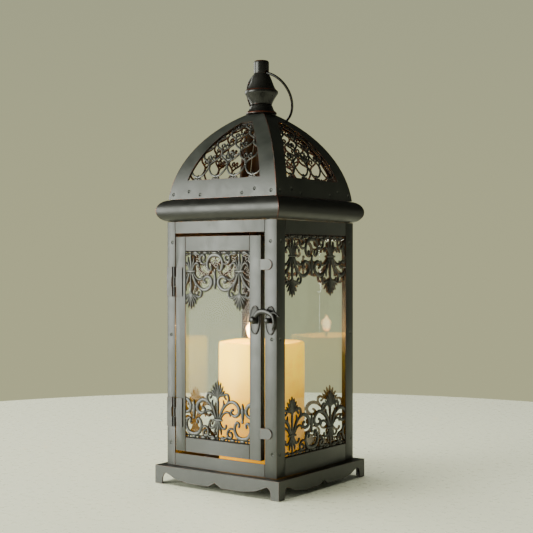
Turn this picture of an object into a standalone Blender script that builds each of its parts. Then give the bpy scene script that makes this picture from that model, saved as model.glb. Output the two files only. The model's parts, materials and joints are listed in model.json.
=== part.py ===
"""Square candle lantern: footed base tray, framed glass body with a hinged and latched door, bullnose
cornice, four-sided dome with pierced windows, turned finial with a ring handle, and a pillar candle.

Metres, +Z up. The door faces -Y. The origin is the centre of the rectangle that the feet stand on.
"""

import math

import bpy
import numpy as np
from mathutils import Matrix, Vector

MM = 0.001

# Driving dimensions.
BODY_WIDTH = 110 * MM
BODY_HEIGHT = 197.8 * MM
FOOT_HEIGHT = 14.6 * MM
EAVES = 7 * MM
CORNICE_HEIGHT = 17.6 * MM
ROOF_RISE = 71.1 * MM
ROOF_SAGITTA = 9.9 * MM
ROOF_TOP_HALF = 8.8 * MM
SHEET = 0.9 * MM
BASE_SHEET = 1.2 * MM
GAP = 0.3 * MM

# Body frame.
POST_FACE = 11.2 * MM
HINGE_POST_FACE = 8.2 * MM
JAMB_LIP = 4 * MM
FRONT_TOP_RAIL = 9.4 * MM
FRONT_BOTTOM_RAIL = 10 * MM
SIDE_TOP_RAIL = 10.8 * MM
SIDE_BOTTOM_RAIL = 14.2 * MM

# Door.
HINGE_SEAM = 0.9 * MM
LATCH_SEAM = 3.8 * MM
SILL_SEAM = 2.2 * MM
LINTEL_SEAM = 2.7 * MM
HINGE_STILE = 10.1 * MM
LATCH_STILE = 10.8 * MM
DOOR_TOP_RAIL = 11.5 * MM
DOOR_BOTTOM_RAIL = 11.2 * MM
STILE_RETURN = 5.2 * MM

# Panes and pierced panels.
GLASS = 2 * MM
PANEL = 0.8 * MM
GLASS_REBATE = 6 * MM
PANEL_REBATE = 2.6 * MM
DOOR_PANEL_PERIOD = 49.2 * MM
DOOR_PANEL_SHIFT = 3 * MM
DOOR_TOP_DROP = 46 * MM
DOOR_BOTTOM_RISE = 46.5 * MM
SIDE_PANEL_PERIOD = 54.5 * MM
SIDE_PANEL_SHIFT = 5 * MM
SIDE_TOP_DROP = 48 * MM
SIDE_BOTTOM_RISE = 45 * MM

# Hinges.
HINGE_HEIGHT = 23.4 * MM
HINGE_UPPER_DROP = 36.5 * MM
HINGE_LOWER_RISE = 31 * MM
KNUCKLE_RADIUS = 1.5 * MM
BORE_RADIUS = 1 * MM
PIN_RADIUS = 0.65 * MM
LEAF_SHEET = 0.6 * MM
LEAF_WIDTH = 6 * MM
DOOR_LEAF_SET = 1 * MM
STILE_NOTCH = 1.5 * MM

# Door stops and latch.
STOP_HEIGHT = 8 * MM
STOP_UPPER_DROP = 22.4 * MM
STOP_LOWER_RISE = 21.4 * MM
STOP_REACH = 7 * MM
LATCH_DROP = 65.2 * MM
LATCH_PLATE_WIDTH = 9.6 * MM
LATCH_PLATE_HEIGHT = 22.4 * MM
LATCH_SHEET = 0.8 * MM
PEG_RADIUS = 2.2 * MM
PEG_LENGTH = 5.4 * MM
HOOK_DEPTH = 2.2 * MM
HOOK_WIDTH = 3.6 * MM
RIVET_RADIUS = 1.1 * MM
RIVET_HEAD = 2.5 * MM

# Cornice and dome.
CORNICE_SHEET = 1 * MM
CORNICE_LIP = 3.4 * MM
ROOF_SHEET = 1 * MM
HIP_BAND = 15 * MM
WINDOW_SILL = 15.2 * MM
WINDOW_HEAD = 63.4 * MM
GRILLE_REBATE = 2.4 * MM
GRILLE_BAR = 1.7 * MM
GRILLE_ROWS = 5
GRILLE_COLUMNS = 5

# Finial and ring handle.
CROWN_SHEET = 1.2 * MM
COLLAR_RADIUS = 12.8 * MM
COLLAR_HEIGHT = 7.6 * MM
WAIST_RADIUS = 8.9 * MM
FLANGE_RADIUS = 13.9 * MM
NECK_RADIUS = 6.2 * MM
FINIAL_HEIGHT = 36.8 * MM
KNOB_HEIGHT = 10.6 * MM
SHANK_RADIUS = 2 * MM
NUT_RADIUS = 4.2 * MM
NUT_HEIGHT = 3.2 * MM
RING_RADIUS = 23 * MM
WIRE_RADIUS = 1.1 * MM
RING_TURN = math.radians(-5)

# Candle.
CANDLE_DIAMETER = 70 * MM
CANDLE_HEIGHT = 100 * MM
CANDLE_RIM = 6 * MM
CANDLE_POOL = 3 * MM
WICK_RADIUS = 0.9 * MM
WICK_HEIGHT = 9 * MM
WICK_X = -6.9 * MM
WICK_Y = -5 * MM

# Levels and places that follow from them.
HALF = BODY_WIDTH / 2
BASE_HALF = HALF + EAVES
FLOOR_Z = FOOT_HEIGHT
POST_BOTTOM = FLOOR_Z + GAP
POST_TOP = POST_BOTTOM + BODY_HEIGHT
CORNICE_BOTTOM = POST_TOP + GAP
CORNICE_TOP = CORNICE_BOTTOM + CORNICE_HEIGHT
CORNICE_RADIUS = CORNICE_HEIGHT / 2
ROOF_BOTTOM = CORNICE_TOP + GAP
ROOF_TOP = ROOF_BOTTOM + ROOF_RISE
ROOF_HALF = BASE_HALF - CORNICE_RADIUS + 1.3 * MM
FACE_BACK = -HALF + SHEET
PANEL_FRONT = FACE_BACK + GAP
GLASS_FRONT = PANEL_FRONT + PANEL + GAP
DOOR_LEFT = -HALF + HINGE_POST_FACE + HINGE_SEAM
DOOR_RIGHT = HALF - POST_FACE - LATCH_SEAM
DOOR_BOTTOM = POST_BOTTOM + FRONT_BOTTOM_RAIL + SILL_SEAM
DOOR_TOP = POST_TOP - FRONT_TOP_RAIL - LINTEL_SEAM
WINDOW_LEFT = DOOR_LEFT + HINGE_STILE
WINDOW_RIGHT = DOOR_RIGHT - LATCH_STILE
WINDOW_BOTTOM = DOOR_BOTTOM + DOOR_BOTTOM_RAIL
WINDOW_TOP = DOOR_TOP - DOOR_TOP_RAIL
SIDE_WINDOW_HALF = HALF - POST_FACE
SIDE_WINDOW_BOTTOM = POST_BOTTOM + SIDE_BOTTOM_RAIL
SIDE_WINDOW_TOP = POST_TOP - SIDE_TOP_RAIL
HINGE_X = DOOR_LEFT - KNUCKLE_RADIUS - 0.4 * MM
HINGE_UPPER_Z = DOOR_TOP - HINGE_UPPER_DROP
HINGE_LOWER_Z = DOOR_BOTTOM + HINGE_LOWER_RISE
STOP_UPPER_Z = DOOR_TOP - STOP_UPPER_DROP
STOP_LOWER_Z = DOOR_BOTTOM + STOP_LOWER_RISE
LATCH_Z = DOOR_TOP - LATCH_DROP
HINGE_Y = -HALF + SHEET
LEAF_BACK = -HALF - GAP
LEAF_FRONT = LEAF_BACK - LEAF_SHEET
PIVOT_X = DOOR_RIGHT - LATCH_STILE / 2
PEG_X = HALF - POST_FACE / 2
HOOK_BACK = LEAF_BACK - LATCH_SHEET - GAP
COLLAR_BOTTOM = ROOF_TOP + GAP
FINIAL_BOTTOM = COLLAR_BOTTOM + COLLAR_HEIGHT + GAP
NECK_Z = FINIAL_BOTTOM + FINIAL_HEIGHT - KNOB_HEIGHT
CROWN_TOP = ROOF_TOP - 2.4 * MM

BLACK_PAINT = ((0.028, 0.029, 0.026, 1), 0.42, 0.35)
RUBBED_BRONZE = ((0.06, 0.03, 0.02, 1), 0.38, 0.6)
CLEAR_GLASS = ((0.85, 0.9, 0.88, 1), 0.05, 0)
STEEL = ((0.3, 0.29, 0.27, 1), 0.35, 1)
IVORY_WAX = ((0.86, 0.72, 0.45, 1), 0.5, 0)
CHARRED_WICK = ((0.03, 0.025, 0.02, 1), 0.9, 0)


def finish(obj, look):
    """Gives the object a material of its own."""
    colour, roughness, metallic = look
    material = bpy.data.materials.new(obj.name + "_finish")
    material.use_nodes = True
    shader = material.node_tree.nodes["Principled BSDF"]
    shader.inputs["Base Color"].default_value = colour
    shader.inputs["Roughness"].default_value = roughness
    shader.inputs["Metallic"].default_value = metallic
    material.diffuse_color = colour
    obj.data.materials.append(material)
    return obj


def add(name, data, look):
    obj = bpy.data.objects.new(name, data)
    bpy.context.scene.collection.objects.link(obj)
    return finish(obj, look)


def add_mesh(name, points, faces, look):
    mesh = bpy.data.meshes.new(name)
    mesh.from_pydata([tuple(p) for p in points], [], faces)
    mesh.validate()
    return add(name, mesh, look)


def hide_helper(obj):
    obj.hide_render = True
    obj.display_type = "WIRE"
    return obj


def boolean(obj, other, operation):
    """Cuts or joins with a helper object, which stays out of the model."""
    hide_helper(other)
    modifier = obj.modifiers.new(other.name, "BOOLEAN")
    modifier.operation = operation
    modifier.object = other
    modifier.solver = "EXACT"
    return obj


def smooth(obj, degrees=35):
    obj.data.shade_smooth()
    obj.data.set_sharp_from_angle(angle=math.radians(degrees))
    return obj


def under(parent, *children):
    """Parents objects to an empty and leaves them where they are."""
    bpy.context.view_layer.update()
    for child in children:
        child.parent = parent
        child.matrix_parent_inverse = parent.matrix_world.inverted()


def axis_empty(name, place):
    empty = bpy.data.objects.new(name, None)
    empty.location = place
    bpy.context.scene.collection.objects.link(empty)
    return empty


def box(name, low, high, look=BLACK_PAINT):
    """An axis-aligned block between two corners."""
    low, high = Vector(low), Vector(high)
    corners = [(x, y, z) for z in (-0.5, 0.5) for y in (-0.5, 0.5) for x in (-0.5, 0.5)]
    faces = [(0, 2, 3, 1), (4, 5, 7, 6), (0, 1, 5, 4), (2, 6, 7, 3), (0, 4, 6, 2), (1, 3, 7, 5)]
    size = high - low
    points = [(c[0] * size.x, c[1] * size.y, c[2] * size.z) for c in corners]
    obj = add_mesh(name, points, faces, look)
    obj.location = (low + high) / 2
    return obj


def flat_plate(name, outlines, thickness, look):
    """A plate from closed 2-D outlines, the first outside and the others holes, centred on its sheet."""
    curve = bpy.data.curves.new(name, "CURVE")
    curve.dimensions = "2D"
    curve.fill_mode = "BOTH"
    curve.extrude = thickness / 2
    for outline in outlines:
        spline = curve.splines.new("POLY")
        spline.points.add(len(outline) - 1)
        for point, (u, v) in zip(spline.points, outline):
            point.co = (u, v, 0, 1)
        spline.use_cyclic_u = True
    return add(name, curve, look)


def front_plate(name, outlines, y_front, thickness, look=BLACK_PAINT):
    """A plate whose outlines are in X and Z, with its front face at y_front."""
    obj = flat_plate(name, outlines, thickness, look)
    obj.rotation_euler = (math.radians(90), 0, 0)
    obj.location = (0, y_front + thickness / 2, 0)
    return obj


def mesh_prism(name, outline, axis, low, high, look=BLACK_PAINT):
    """A convex or simple section as a mesh, extruded along X, Y or Z. It can cut or join."""
    count = len(outline)
    place = {
        "X": lambda u, v, w: (w, u, v),
        "Y": lambda u, v, w: (u, w, v),
        "Z": lambda u, v, w: (u, v, w),
    }[axis]
    points = [place(u, v, w) for w in (low, high) for u, v in outline]
    sides = [(i, (i + 1) % count, count + (i + 1) % count, count + i) for i in range(count)]
    caps = [tuple(reversed(range(count))), tuple(range(count, 2 * count))]
    faces = sides + caps
    if axis == "Y":
        faces = [tuple(reversed(face)) for face in faces]
    return add_mesh(name, points, faces, look)


def arc(centre, radii, start, end, steps):
    """Points along an ellipse arc, angles in degrees."""
    angles = np.radians(np.linspace(start, end, steps + 1))
    return [(centre[0] + radii[0] * math.cos(a), centre[1] + radii[1] * math.sin(a)) for a in angles]


def oval(centre, radii, steps=16):
    return arc(centre, radii, 0, 360, steps)[:-1]


def rectangle(low, high):
    return [low, (high[0], low[1]), high, (low[0], high[1])]


def turned(name, profile, look, steps=32, place=(0, 0, 0)):
    """A turned piece. The profile is (radius, height), from the axis at the top down its outer side."""
    mesh = bpy.data.meshes.new(name)
    points = [(radius, 0, height) for radius, height in profile]
    mesh.from_pydata(points, [(i, i + 1) for i in range(len(points) - 1)], [])
    obj = add(name, mesh, look)
    obj.location = place
    screw = obj.modifiers.new("Turn", "SCREW")
    screw.steps = steps
    screw.render_steps = steps
    screw.use_merge_vertices = True
    screw.merge_threshold = 0.00001
    screw.use_smooth_shade = True
    return obj


def quarter_turned(original, name, turns):
    """A copy of a piece, turned about the lantern's axis by right angles."""
    copy = original.copy()
    copy.data = original.data.copy()
    copy.data.materials.clear()
    copy.name = name
    bpy.context.scene.collection.objects.link(copy)
    finish(copy, BLACK_PAINT)
    copy.matrix_world = Matrix.Rotation(turns * math.pi / 2, 4, "Z") @ original.matrix_world
    return copy


def grid_shell(name, outer, inner, filled, look):
    """A sheet from two point grids, closed along every edge between a filled and an empty cell."""
    rows, columns = len(outer), len(outer[0])
    points = [p for row in outer for p in row] + [p for row in inner for p in row]
    offset = rows * columns
    faces = []

    def solid(i, j):
        return 0 <= i < rows - 1 and 0 <= j < columns - 1 and filled(i, j)

    for i in range(rows - 1):
        for j in range(columns - 1):
            if not solid(i, j):
                continue
            a, b = i * columns + j, i * columns + j + 1
            c, d = (i + 1) * columns + j + 1, (i + 1) * columns + j
            faces.append((a, b, c, d))
            faces.append((offset + d, offset + c, offset + b, offset + a))
            for (p, q), neighbour in (
                ((a, b), (i - 1, j)),
                ((b, c), (i, j + 1)),
                ((c, d), (i + 1, j)),
                ((d, a), (i, j - 1)),
            ):
                if not solid(*neighbour):
                    faces.append((q, p, offset + p, offset + q))
    used = sorted({index for face in faces for index in face})
    new_index = {index: position for position, index in enumerate(used)}
    return add_mesh(
        name,
        [points[index] for index in used],
        [tuple(new_index[index] for index in face) for face in faces],
        look,
    )


# Roof profile: one circular arc from the eaves to the top of the dome.
def roof_arc():
    """Centre (half width, height) and radius of the arc."""
    foot, head = Vector((ROOF_HALF, ROOF_BOTTOM)), Vector((ROOF_TOP_HALF, ROOF_TOP))
    chord = head - foot
    radius = (chord.length**2 / 4 + ROOF_SAGITTA**2) / (2 * ROOF_SAGITTA)
    outward = Vector((chord.y, -chord.x)).normalized()
    return (foot + head) / 2 + outward * (ROOF_SAGITTA - radius), radius


ARC_CENTRE, ARC_RADIUS = roof_arc()


def roof_half(z, inset=0.0):
    """Half width of the dome at a height, on a surface this far inside its outer one."""
    return ARC_CENTRE.x + math.sqrt((ARC_RADIUS - inset) ** 2 - (z - ARC_CENTRE.y) ** 2)


def arc_point(angle, inset=0.0):
    reach = ARC_RADIUS - inset
    return ARC_CENTRE.x + reach * math.cos(angle), ARC_CENTRE.y + reach * math.sin(angle)


def arc_angle(z):
    return math.asin((z - ARC_CENTRE.y) / ARC_RADIUS)


def scallop_outline():
    """The space under one apron between its two feet, from the floor up."""
    depth = FOOT_HEIGHT + MM
    foot_inner = BASE_HALF - 7.6 * MM
    arch_top, lobe, notch = 9.1 * MM, 3.2 * MM, 6.7 * MM
    right = [(foot_inner, -MM), (foot_inner, 3.4 * MM)]
    right += arc((foot_inner - 4.4 * MM, 3.4 * MM), (4.4 * MM, arch_top - 3.4 * MM), 0, 90, 5)[1:]
    right += [
        (foot_inner - 14 * MM, 5.2 * MM),
        (foot_inner - 27 * MM, lobe),
        (6.5 * MM, lobe),
        (0, notch),
    ]
    left = [(-u, v) for u, v in reversed(right[:-1])]
    return [p for p in right + left if p[1] < depth]


def base_tray():
    """A square tray upside down: its top carries the lantern and its folded aprons end in bracket feet."""
    tray = box("base_tray", (-BASE_HALF, -BASE_HALF, 0), (BASE_HALF, BASE_HALF, FLOOR_Z))
    inner = BASE_HALF - BASE_SHEET
    hollow = box("tray_hollow", (-inner, -inner, -MM), (inner, inner, FLOOR_Z - BASE_SHEET))
    boolean(tray, hollow, "DIFFERENCE")
    beyond = BASE_HALF + MM
    for axis in "XY":
        cutter = mesh_prism("apron_scallop_" + axis, scallop_outline(), axis, -beyond, beyond)
        boolean(tray, cutter, "DIFFERENCE")
    return tray


def angle_section(across, along, lip=0.0):
    """An angle with its corner at the body's front left, one leg along X and one along Y."""
    outline = [(-HALF, -HALF), (-HALF + across, -HALF)]
    if lip:
        outline += [
            (-HALF + across, FACE_BACK + lip),
            (-HALF + across - SHEET, FACE_BACK + lip),
            (-HALF + across - SHEET, FACE_BACK),
        ]
    else:
        outline.append((-HALF + across, FACE_BACK))
    return outline + [(FACE_BACK, FACE_BACK), (FACE_BACK, -HALF + along), (-HALF, -HALF + along)]


def posts():
    plain = angle_section(POST_FACE, POST_FACE)
    hinge_post = mesh_prism(
        "post_front_left", angle_section(HINGE_POST_FACE, POST_FACE), "Z", POST_BOTTOM, POST_TOP
    )
    notch_edge = 2 * HINGE_X - DOOR_LEFT - 0.5 * MM
    for label, z in (("upper", HINGE_UPPER_Z), ("lower", HINGE_LOWER_Z)):
        reach = HINGE_HEIGHT / 2 + GAP
        notch = box(
            "hinge_notch_" + label,
            (notch_edge, -HALF - MM, z - reach),
            (DOOR_LEFT, FACE_BACK + MM, z + reach),
        )
        boolean(hinge_post, notch, "DIFFERENCE")
    jamb = angle_section(POST_FACE, POST_FACE, JAMB_LIP)
    mirrored = [(-x, y) for x, y in reversed(jamb)]
    mesh_prism("post_front_right", mirrored, "Z", POST_BOTTOM, POST_TOP)
    for name, sx, reverse in (("post_back_left", 1, True), ("post_back_right", -1, False)):
        outline = [(sx * x, -y) for x, y in plain]
        mesh_prism(name, outline[::-1] if reverse else outline, "Z", POST_BOTTOM, POST_TOP)


def side_rail(name, low, high, quarter):
    """A strip between two full-width posts on one side of the body."""
    reach = SIDE_WINDOW_HALF - GAP
    rail = box(name, (-reach, -HALF, low), (reach, FACE_BACK, high))
    turn = Matrix.Rotation(quarter * math.pi / 2, 4, "Z")
    rail.matrix_world = turn @ Matrix.Translation(rail.location)


def body_rails():
    left, right = -HALF + HINGE_POST_FACE + GAP, HALF - POST_FACE - GAP
    box(
        "rail_front_bottom", (left, -HALF, POST_BOTTOM), (right, FACE_BACK, POST_BOTTOM + FRONT_BOTTOM_RAIL)
    )
    box("rail_front_top", (left, -HALF, POST_TOP - FRONT_TOP_RAIL), (right, FACE_BACK, POST_TOP))
    for side, quarter in (("right", 1), ("back", 2), ("left", 3)):
        side_rail(f"rail_{side}_bottom", POST_BOTTOM, SIDE_WINDOW_BOTTOM, quarter)
        side_rail(f"rail_{side}_top", SIDE_WINDOW_TOP, POST_TOP, quarter)


def panel_outlines(left, right, root, tip, period, centre, overlap):
    """A pierced strip: a straight bar from which pendants hang or rise, with shorter lobes between.

    root is where the visible strip starts, tip where its pendants end, centre the place of one pendant.
    """
    sign = 1 if tip > root else -1
    reach = abs(tip - root)
    bar = root - sign * overlap
    steps = max(20, 2 * round((right - left) / (4.6 * MM)))

    def edge(x):
        phase = math.cos(2 * math.pi * (x - centre) / period)
        pendant = (0.5 + 0.5 * phase) ** 2.2
        lobe = (0.5 - 0.5 * phase) ** 2.2
        return root + sign * reach * (0.2 + 0.8 * pendant + 0.44 * lobe)

    outline = [(left, bar), (right, bar)]
    outline += [(x, edge(x)) for x in np.linspace(right, left, steps + 1)]
    holes = []
    first = math.ceil((left - centre) / period * 2)
    last = math.floor((right - centre) / period * 2)
    for k in range(first, last + 1):
        x = centre + k * period / 2
        room = min(x - left, right - x) - MM
        width = min(3.4 * MM, room)
        if width < 1.2 * MM:
            continue
        drop = 1.0 if k % 2 == 0 else 0.52
        holes.append(oval((x, root + sign * reach * 0.42 * drop), (width, reach * 0.2 * drop), 8))
        if k % 2 == 0:
            holes.append(oval((x, root + sign * reach * 0.78), (min(1.5 * MM, width), reach * 0.09), 6))
    for k in range(first * 2 - 1, last * 2 + 2):
        x = centre + (k + 0.5) * period / 4
        if min(x - left, right - x) > 3 * MM:
            holes.append(oval((x, root + sign * reach * 0.17), (2.3 * MM, reach * 0.07), 6))
    if sign < 0:
        outline.reverse()
    return [outline] + holes


def side_panels():
    """Pierced strips and panes behind the windows of the three fixed sides."""
    reach = SIDE_WINDOW_HALF + PANEL_REBATE
    centre = SIDE_PANEL_PERIOD / 2 - SIDE_PANEL_SHIFT
    strips = (
        ("top", SIDE_WINDOW_TOP, SIDE_WINDOW_TOP - SIDE_TOP_DROP),
        ("bottom", SIDE_WINDOW_BOTTOM, SIDE_WINDOW_BOTTOM + SIDE_BOTTOM_RISE),
    )
    pane_half = -(GLASS_FRONT + GLASS) - 3 * GAP
    low, high = SIDE_WINDOW_BOTTOM - GLASS_REBATE, SIDE_WINDOW_TOP + GLASS_REBATE
    for side, quarter in (("right", 1), ("back", 2), ("left", 3)):
        turn = Matrix.Rotation(quarter * math.pi / 2, 4, "Z")
        for end, root, tip in strips:
            outlines = panel_outlines(
                -reach, reach, root, tip, SIDE_PANEL_PERIOD, centre, PANEL_REBATE
            )
            strip = front_plate(f"filigree_{side}_{end}", outlines, PANEL_FRONT, PANEL)
            bpy.context.view_layer.update()
            strip.matrix_world = turn @ strip.matrix_world
        pane = box(
            "glass_" + side,
            (-pane_half, GLASS_FRONT, low),
            (pane_half, GLASS_FRONT + GLASS, high),
            CLEAR_GLASS,
        )
        pane.matrix_world = turn @ Matrix.Translation(pane.location)


def cornice_section():
    """Distance out from the body's centre and height of the half-round moulding's section."""
    centre = (BASE_HALF - CORNICE_RADIUS, CORNICE_BOTTOM + CORNICE_RADIUS)
    inside = CORNICE_RADIUS - CORNICE_SHEET
    lip = centre[0] - CORNICE_LIP
    section = [(lip, CORNICE_BOTTOM)] + arc(centre, (CORNICE_RADIUS, CORNICE_RADIUS), -90, 90, 12)
    section += [(lip, CORNICE_TOP), (lip, CORNICE_TOP - CORNICE_SHEET)]
    section += arc(centre, (inside, inside), 90, -90, 12) + [(lip, CORNICE_BOTTOM + CORNICE_SHEET)]
    return section


def cornice():
    """Four half-round mouldings with mitred ends."""
    section = cornice_section()
    count = len(section)
    mitre = GAP * 0.75
    points = [(-out + mitre, -out, z) for out, z in section]
    points += [(out - mitre, -out, z) for out, z in section]
    faces = [(i, (i + 1) % count, count + (i + 1) % count, count + i) for i in range(count)]
    faces = [tuple(reversed(face)) for face in faces]
    faces += [tuple(range(count)), tuple(reversed(range(count, 2 * count)))]
    front = smooth(add_mesh("cornice_front", points, faces, BLACK_PAINT))
    bpy.context.view_layer.update()
    for side, quarter in (("right", 1), ("back", 2), ("left", 3)):
        quarter_turned(front, "cornice_" + side, quarter)


def dome():
    """Four curved gores, each with a window, and a pierced grille behind each window."""
    foot, head = arc_angle(ROOF_BOTTOM), arc_angle(ROOF_TOP)
    sill, top = arc_angle(ROOF_BOTTOM + WINDOW_SILL), arc_angle(ROOF_BOTTOM + WINDOW_HEAD)
    angles = list(np.linspace(foot, sill, 4)) + list(np.linspace(sill, top, 13)[1:])
    angles += list(np.linspace(top, head, 4)[1:])
    mitre = GAP * 0.75

    def row(angle, inset):
        half, z = arc_point(angle, inset)
        edge = roof_half(arc_point(angle)[1]) - HIP_BAND
        window = max(edge, 1.5 * MM) if edge < half - mitre else half / 2
        return [Vector((x, -half, z)) for x in (-half + mitre, -window, window, half - mitre)]

    outer = [row(angle, 0) for angle in angles]
    inner = [row(angle, ROOF_SHEET) for angle in angles]

    def filled(i, j):
        return j != 1 or not (3 <= i < 15)

    front = smooth(grid_shell("dome_gore_front", outer, inner, filled, BLACK_PAINT), 30)

    lip = GRILLE_REBATE / ARC_RADIUS
    cells = 2 * GRILLE_COLUMNS + 1
    near, far = ROOF_SHEET + GAP, ROOF_SHEET + GAP + PANEL
    pitch = (top - sill) / GRILLE_ROWS
    bar = GRILLE_BAR / ARC_RADIUS
    levels = [sill - lip, sill + bar / 2]
    for k in range(1, GRILLE_ROWS):
        levels += [sill + k * pitch - bar / 2, sill + k * pitch + bar / 2]
    levels += [top - bar / 2, top + lip]

    def grille_row(angle, inset):
        half, z = arc_point(angle, inset)
        reach = max(roof_half(arc_point(angle)[1]) - HIP_BAND, 1.5 * MM) + GRILLE_REBATE
        share = min(GRILLE_BAR / 2, reach / (4 * GRILLE_COLUMNS))
        edges = []
        for k in range(cells + 1):
            middle = -1 + 2 * (k // 2) / GRILLE_COLUMNS
            side = share if k % 2 else -share
            edges.append(min(max(middle * (reach - share) + side, -reach), reach))
        return [Vector((x, -half, z)) for x in edges]

    def barred(i, j):
        return i % 2 == 0 or j % 2 == 0

    grille = grid_shell(
        "dome_grille_front",
        [grille_row(angle, near) for angle in levels],
        [grille_row(angle, far) for angle in levels],
        barred,
        BLACK_PAINT,
    )
    bpy.context.view_layer.update()
    for side, quarter in (("right", 1), ("back", 2), ("left", 3)):
        quarter_turned(front, "dome_gore_" + side, quarter)
        quarter_turned(grille, "dome_grille_" + side, quarter)


def crown():
    """The plate that the gores close on, and the nut that draws the finial down onto it."""
    half = roof_half(CROWN_TOP, ROOF_SHEET + GAP) - GAP
    hole = oval((0, 0), (SHANK_RADIUS + GAP, SHANK_RADIUS + GAP), 16)
    square = rectangle((-half, -half), (half, half))
    plate = flat_plate("dome_crown_plate", [square, hole], CROWN_SHEET, STEEL)
    plate.location = (0, 0, CROWN_TOP - CROWN_SHEET / 2)
    nut_top = CROWN_TOP - CROWN_SHEET - GAP
    hexagon = oval((0, 0), (NUT_RADIUS, NUT_RADIUS), 6)
    nut = flat_plate("finial_nut", [hexagon, hole], NUT_HEIGHT, STEEL)
    nut.location = (0, 0, nut_top - NUT_HEIGHT / 2)
    return nut_top - NUT_HEIGHT


def finial():
    """A flared collar, and the turned finial with its shank and the cross hole for the ring."""
    bore = SHANK_RADIUS + GAP
    rim = 1.2 * MM
    collar_profile = [(bore, COLLAR_HEIGHT), (WAIST_RADIUS, COLLAR_HEIGHT)]
    collar_profile.append((WAIST_RADIUS + 0.9 * MM, COLLAR_HEIGHT * 0.72))
    collar_profile.append((WAIST_RADIUS + 1.6 * MM, COLLAR_HEIGHT * 0.4))
    collar_profile += [(COLLAR_RADIUS, rim), (COLLAR_RADIUS, 0), (bore, 0), (bore, COLLAR_HEIGHT)]
    turned("finial_collar", collar_profile, BLACK_PAINT, 32, (0, 0, COLLAR_BOTTOM))

    body = FINIAL_HEIGHT - KNOB_HEIGHT
    flange = body * 0.37
    shank_end = crown() - 2 * MM - FINIAL_BOTTOM
    profile = [(0, FINIAL_HEIGHT), (NECK_RADIUS - 1.2 * MM, FINIAL_HEIGHT)]
    profile += [(NECK_RADIUS, FINIAL_HEIGHT - MM), (NECK_RADIUS, body)]
    profile.append((NECK_RADIUS + 1.7 * MM, body * 0.84))
    profile += [(FLANGE_RADIUS - 0.9 * MM, flange + 2.6 * MM), (FLANGE_RADIUS - 0.3 * MM, flange + 2 * MM)]
    profile += [(FLANGE_RADIUS, flange + 0.4 * MM), (FLANGE_RADIUS - 0.6 * MM, flange - 0.6 * MM)]
    profile += [(WAIST_RADIUS + 1.9 * MM, flange * 0.55), (WAIST_RADIUS, 0)]
    profile += [(SHANK_RADIUS, 0), (SHANK_RADIUS, shank_end), (0, shank_end)]
    knob = turned("finial", profile, BLACK_PAINT, 32, (0, 0, FINIAL_BOTTOM))
    sagitta = ring_sagitta()
    radius = WIRE_RADIUS + sagitta / 2 + 1.6 * GAP
    reach = NECK_RADIUS + 4 * MM
    cutter = mesh_prism("ring_hole", oval((0, NECK_Z), (radius, radius), 16), "X", -reach, reach)
    cutter.rotation_euler = (0, 0, RING_TURN)
    boolean(knob, cutter, "DIFFERENCE")


def ring_sagitta():
    """How far the ring's wire bends away within the neck."""
    return RING_RADIUS - math.sqrt(RING_RADIUS**2 - NECK_RADIUS**2)


def ring_points(lean):
    """Points along the ring's wire when its plane hangs back by this angle below the horizontal."""
    reach = RING_RADIUS - ring_sagitta() / 2
    right = Vector((math.cos(RING_TURN), math.sin(RING_TURN), 0))
    back = Vector((-math.sin(RING_TURN), math.cos(RING_TURN), 0))
    down = math.cos(lean) * back - math.sin(lean) * Vector((0, 0, 1))
    centre = Vector((0, 0, NECK_Z)) + down * reach
    turns = np.linspace(0, 2 * math.pi, 96, endpoint=False)
    return centre, [centre + RING_RADIUS * (math.cos(t) * right + math.sin(t) * down) for t in turns]


def ring_rests(lean):
    """True if the ring at this angle stays clear of the dome's back."""
    for point in ring_points(lean)[1]:
        if point.z > ROOF_TOP:
            continue
        clearance = math.hypot(point.y - ARC_CENTRE.x, point.z - ARC_CENTRE.y) - ARC_RADIUS
        if clearance < WIRE_RADIUS + GAP:
            return False
    return True


def ring_handle():
    """A wire ring through the finial's neck, fallen back until it lies on the dome."""
    lean = math.radians(80)
    while not ring_rests(lean):
        lean -= math.radians(0.25)
    centre, _ = ring_points(lean)
    bpy.ops.mesh.primitive_torus_add(
        major_radius=RING_RADIUS, minor_radius=WIRE_RADIUS, major_segments=40, minor_segments=8
    )
    ring = bpy.context.object
    ring.name = "ring_handle"
    ring.data.name = "ring_handle"
    finish(ring, BLACK_PAINT)
    ring.rotation_euler = (-lean, 0, RING_TURN)
    ring.location = centre
    smooth(ring, 60)
    under(axis_empty("ring_axis", (0, 0, NECK_Z)), ring)


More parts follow.
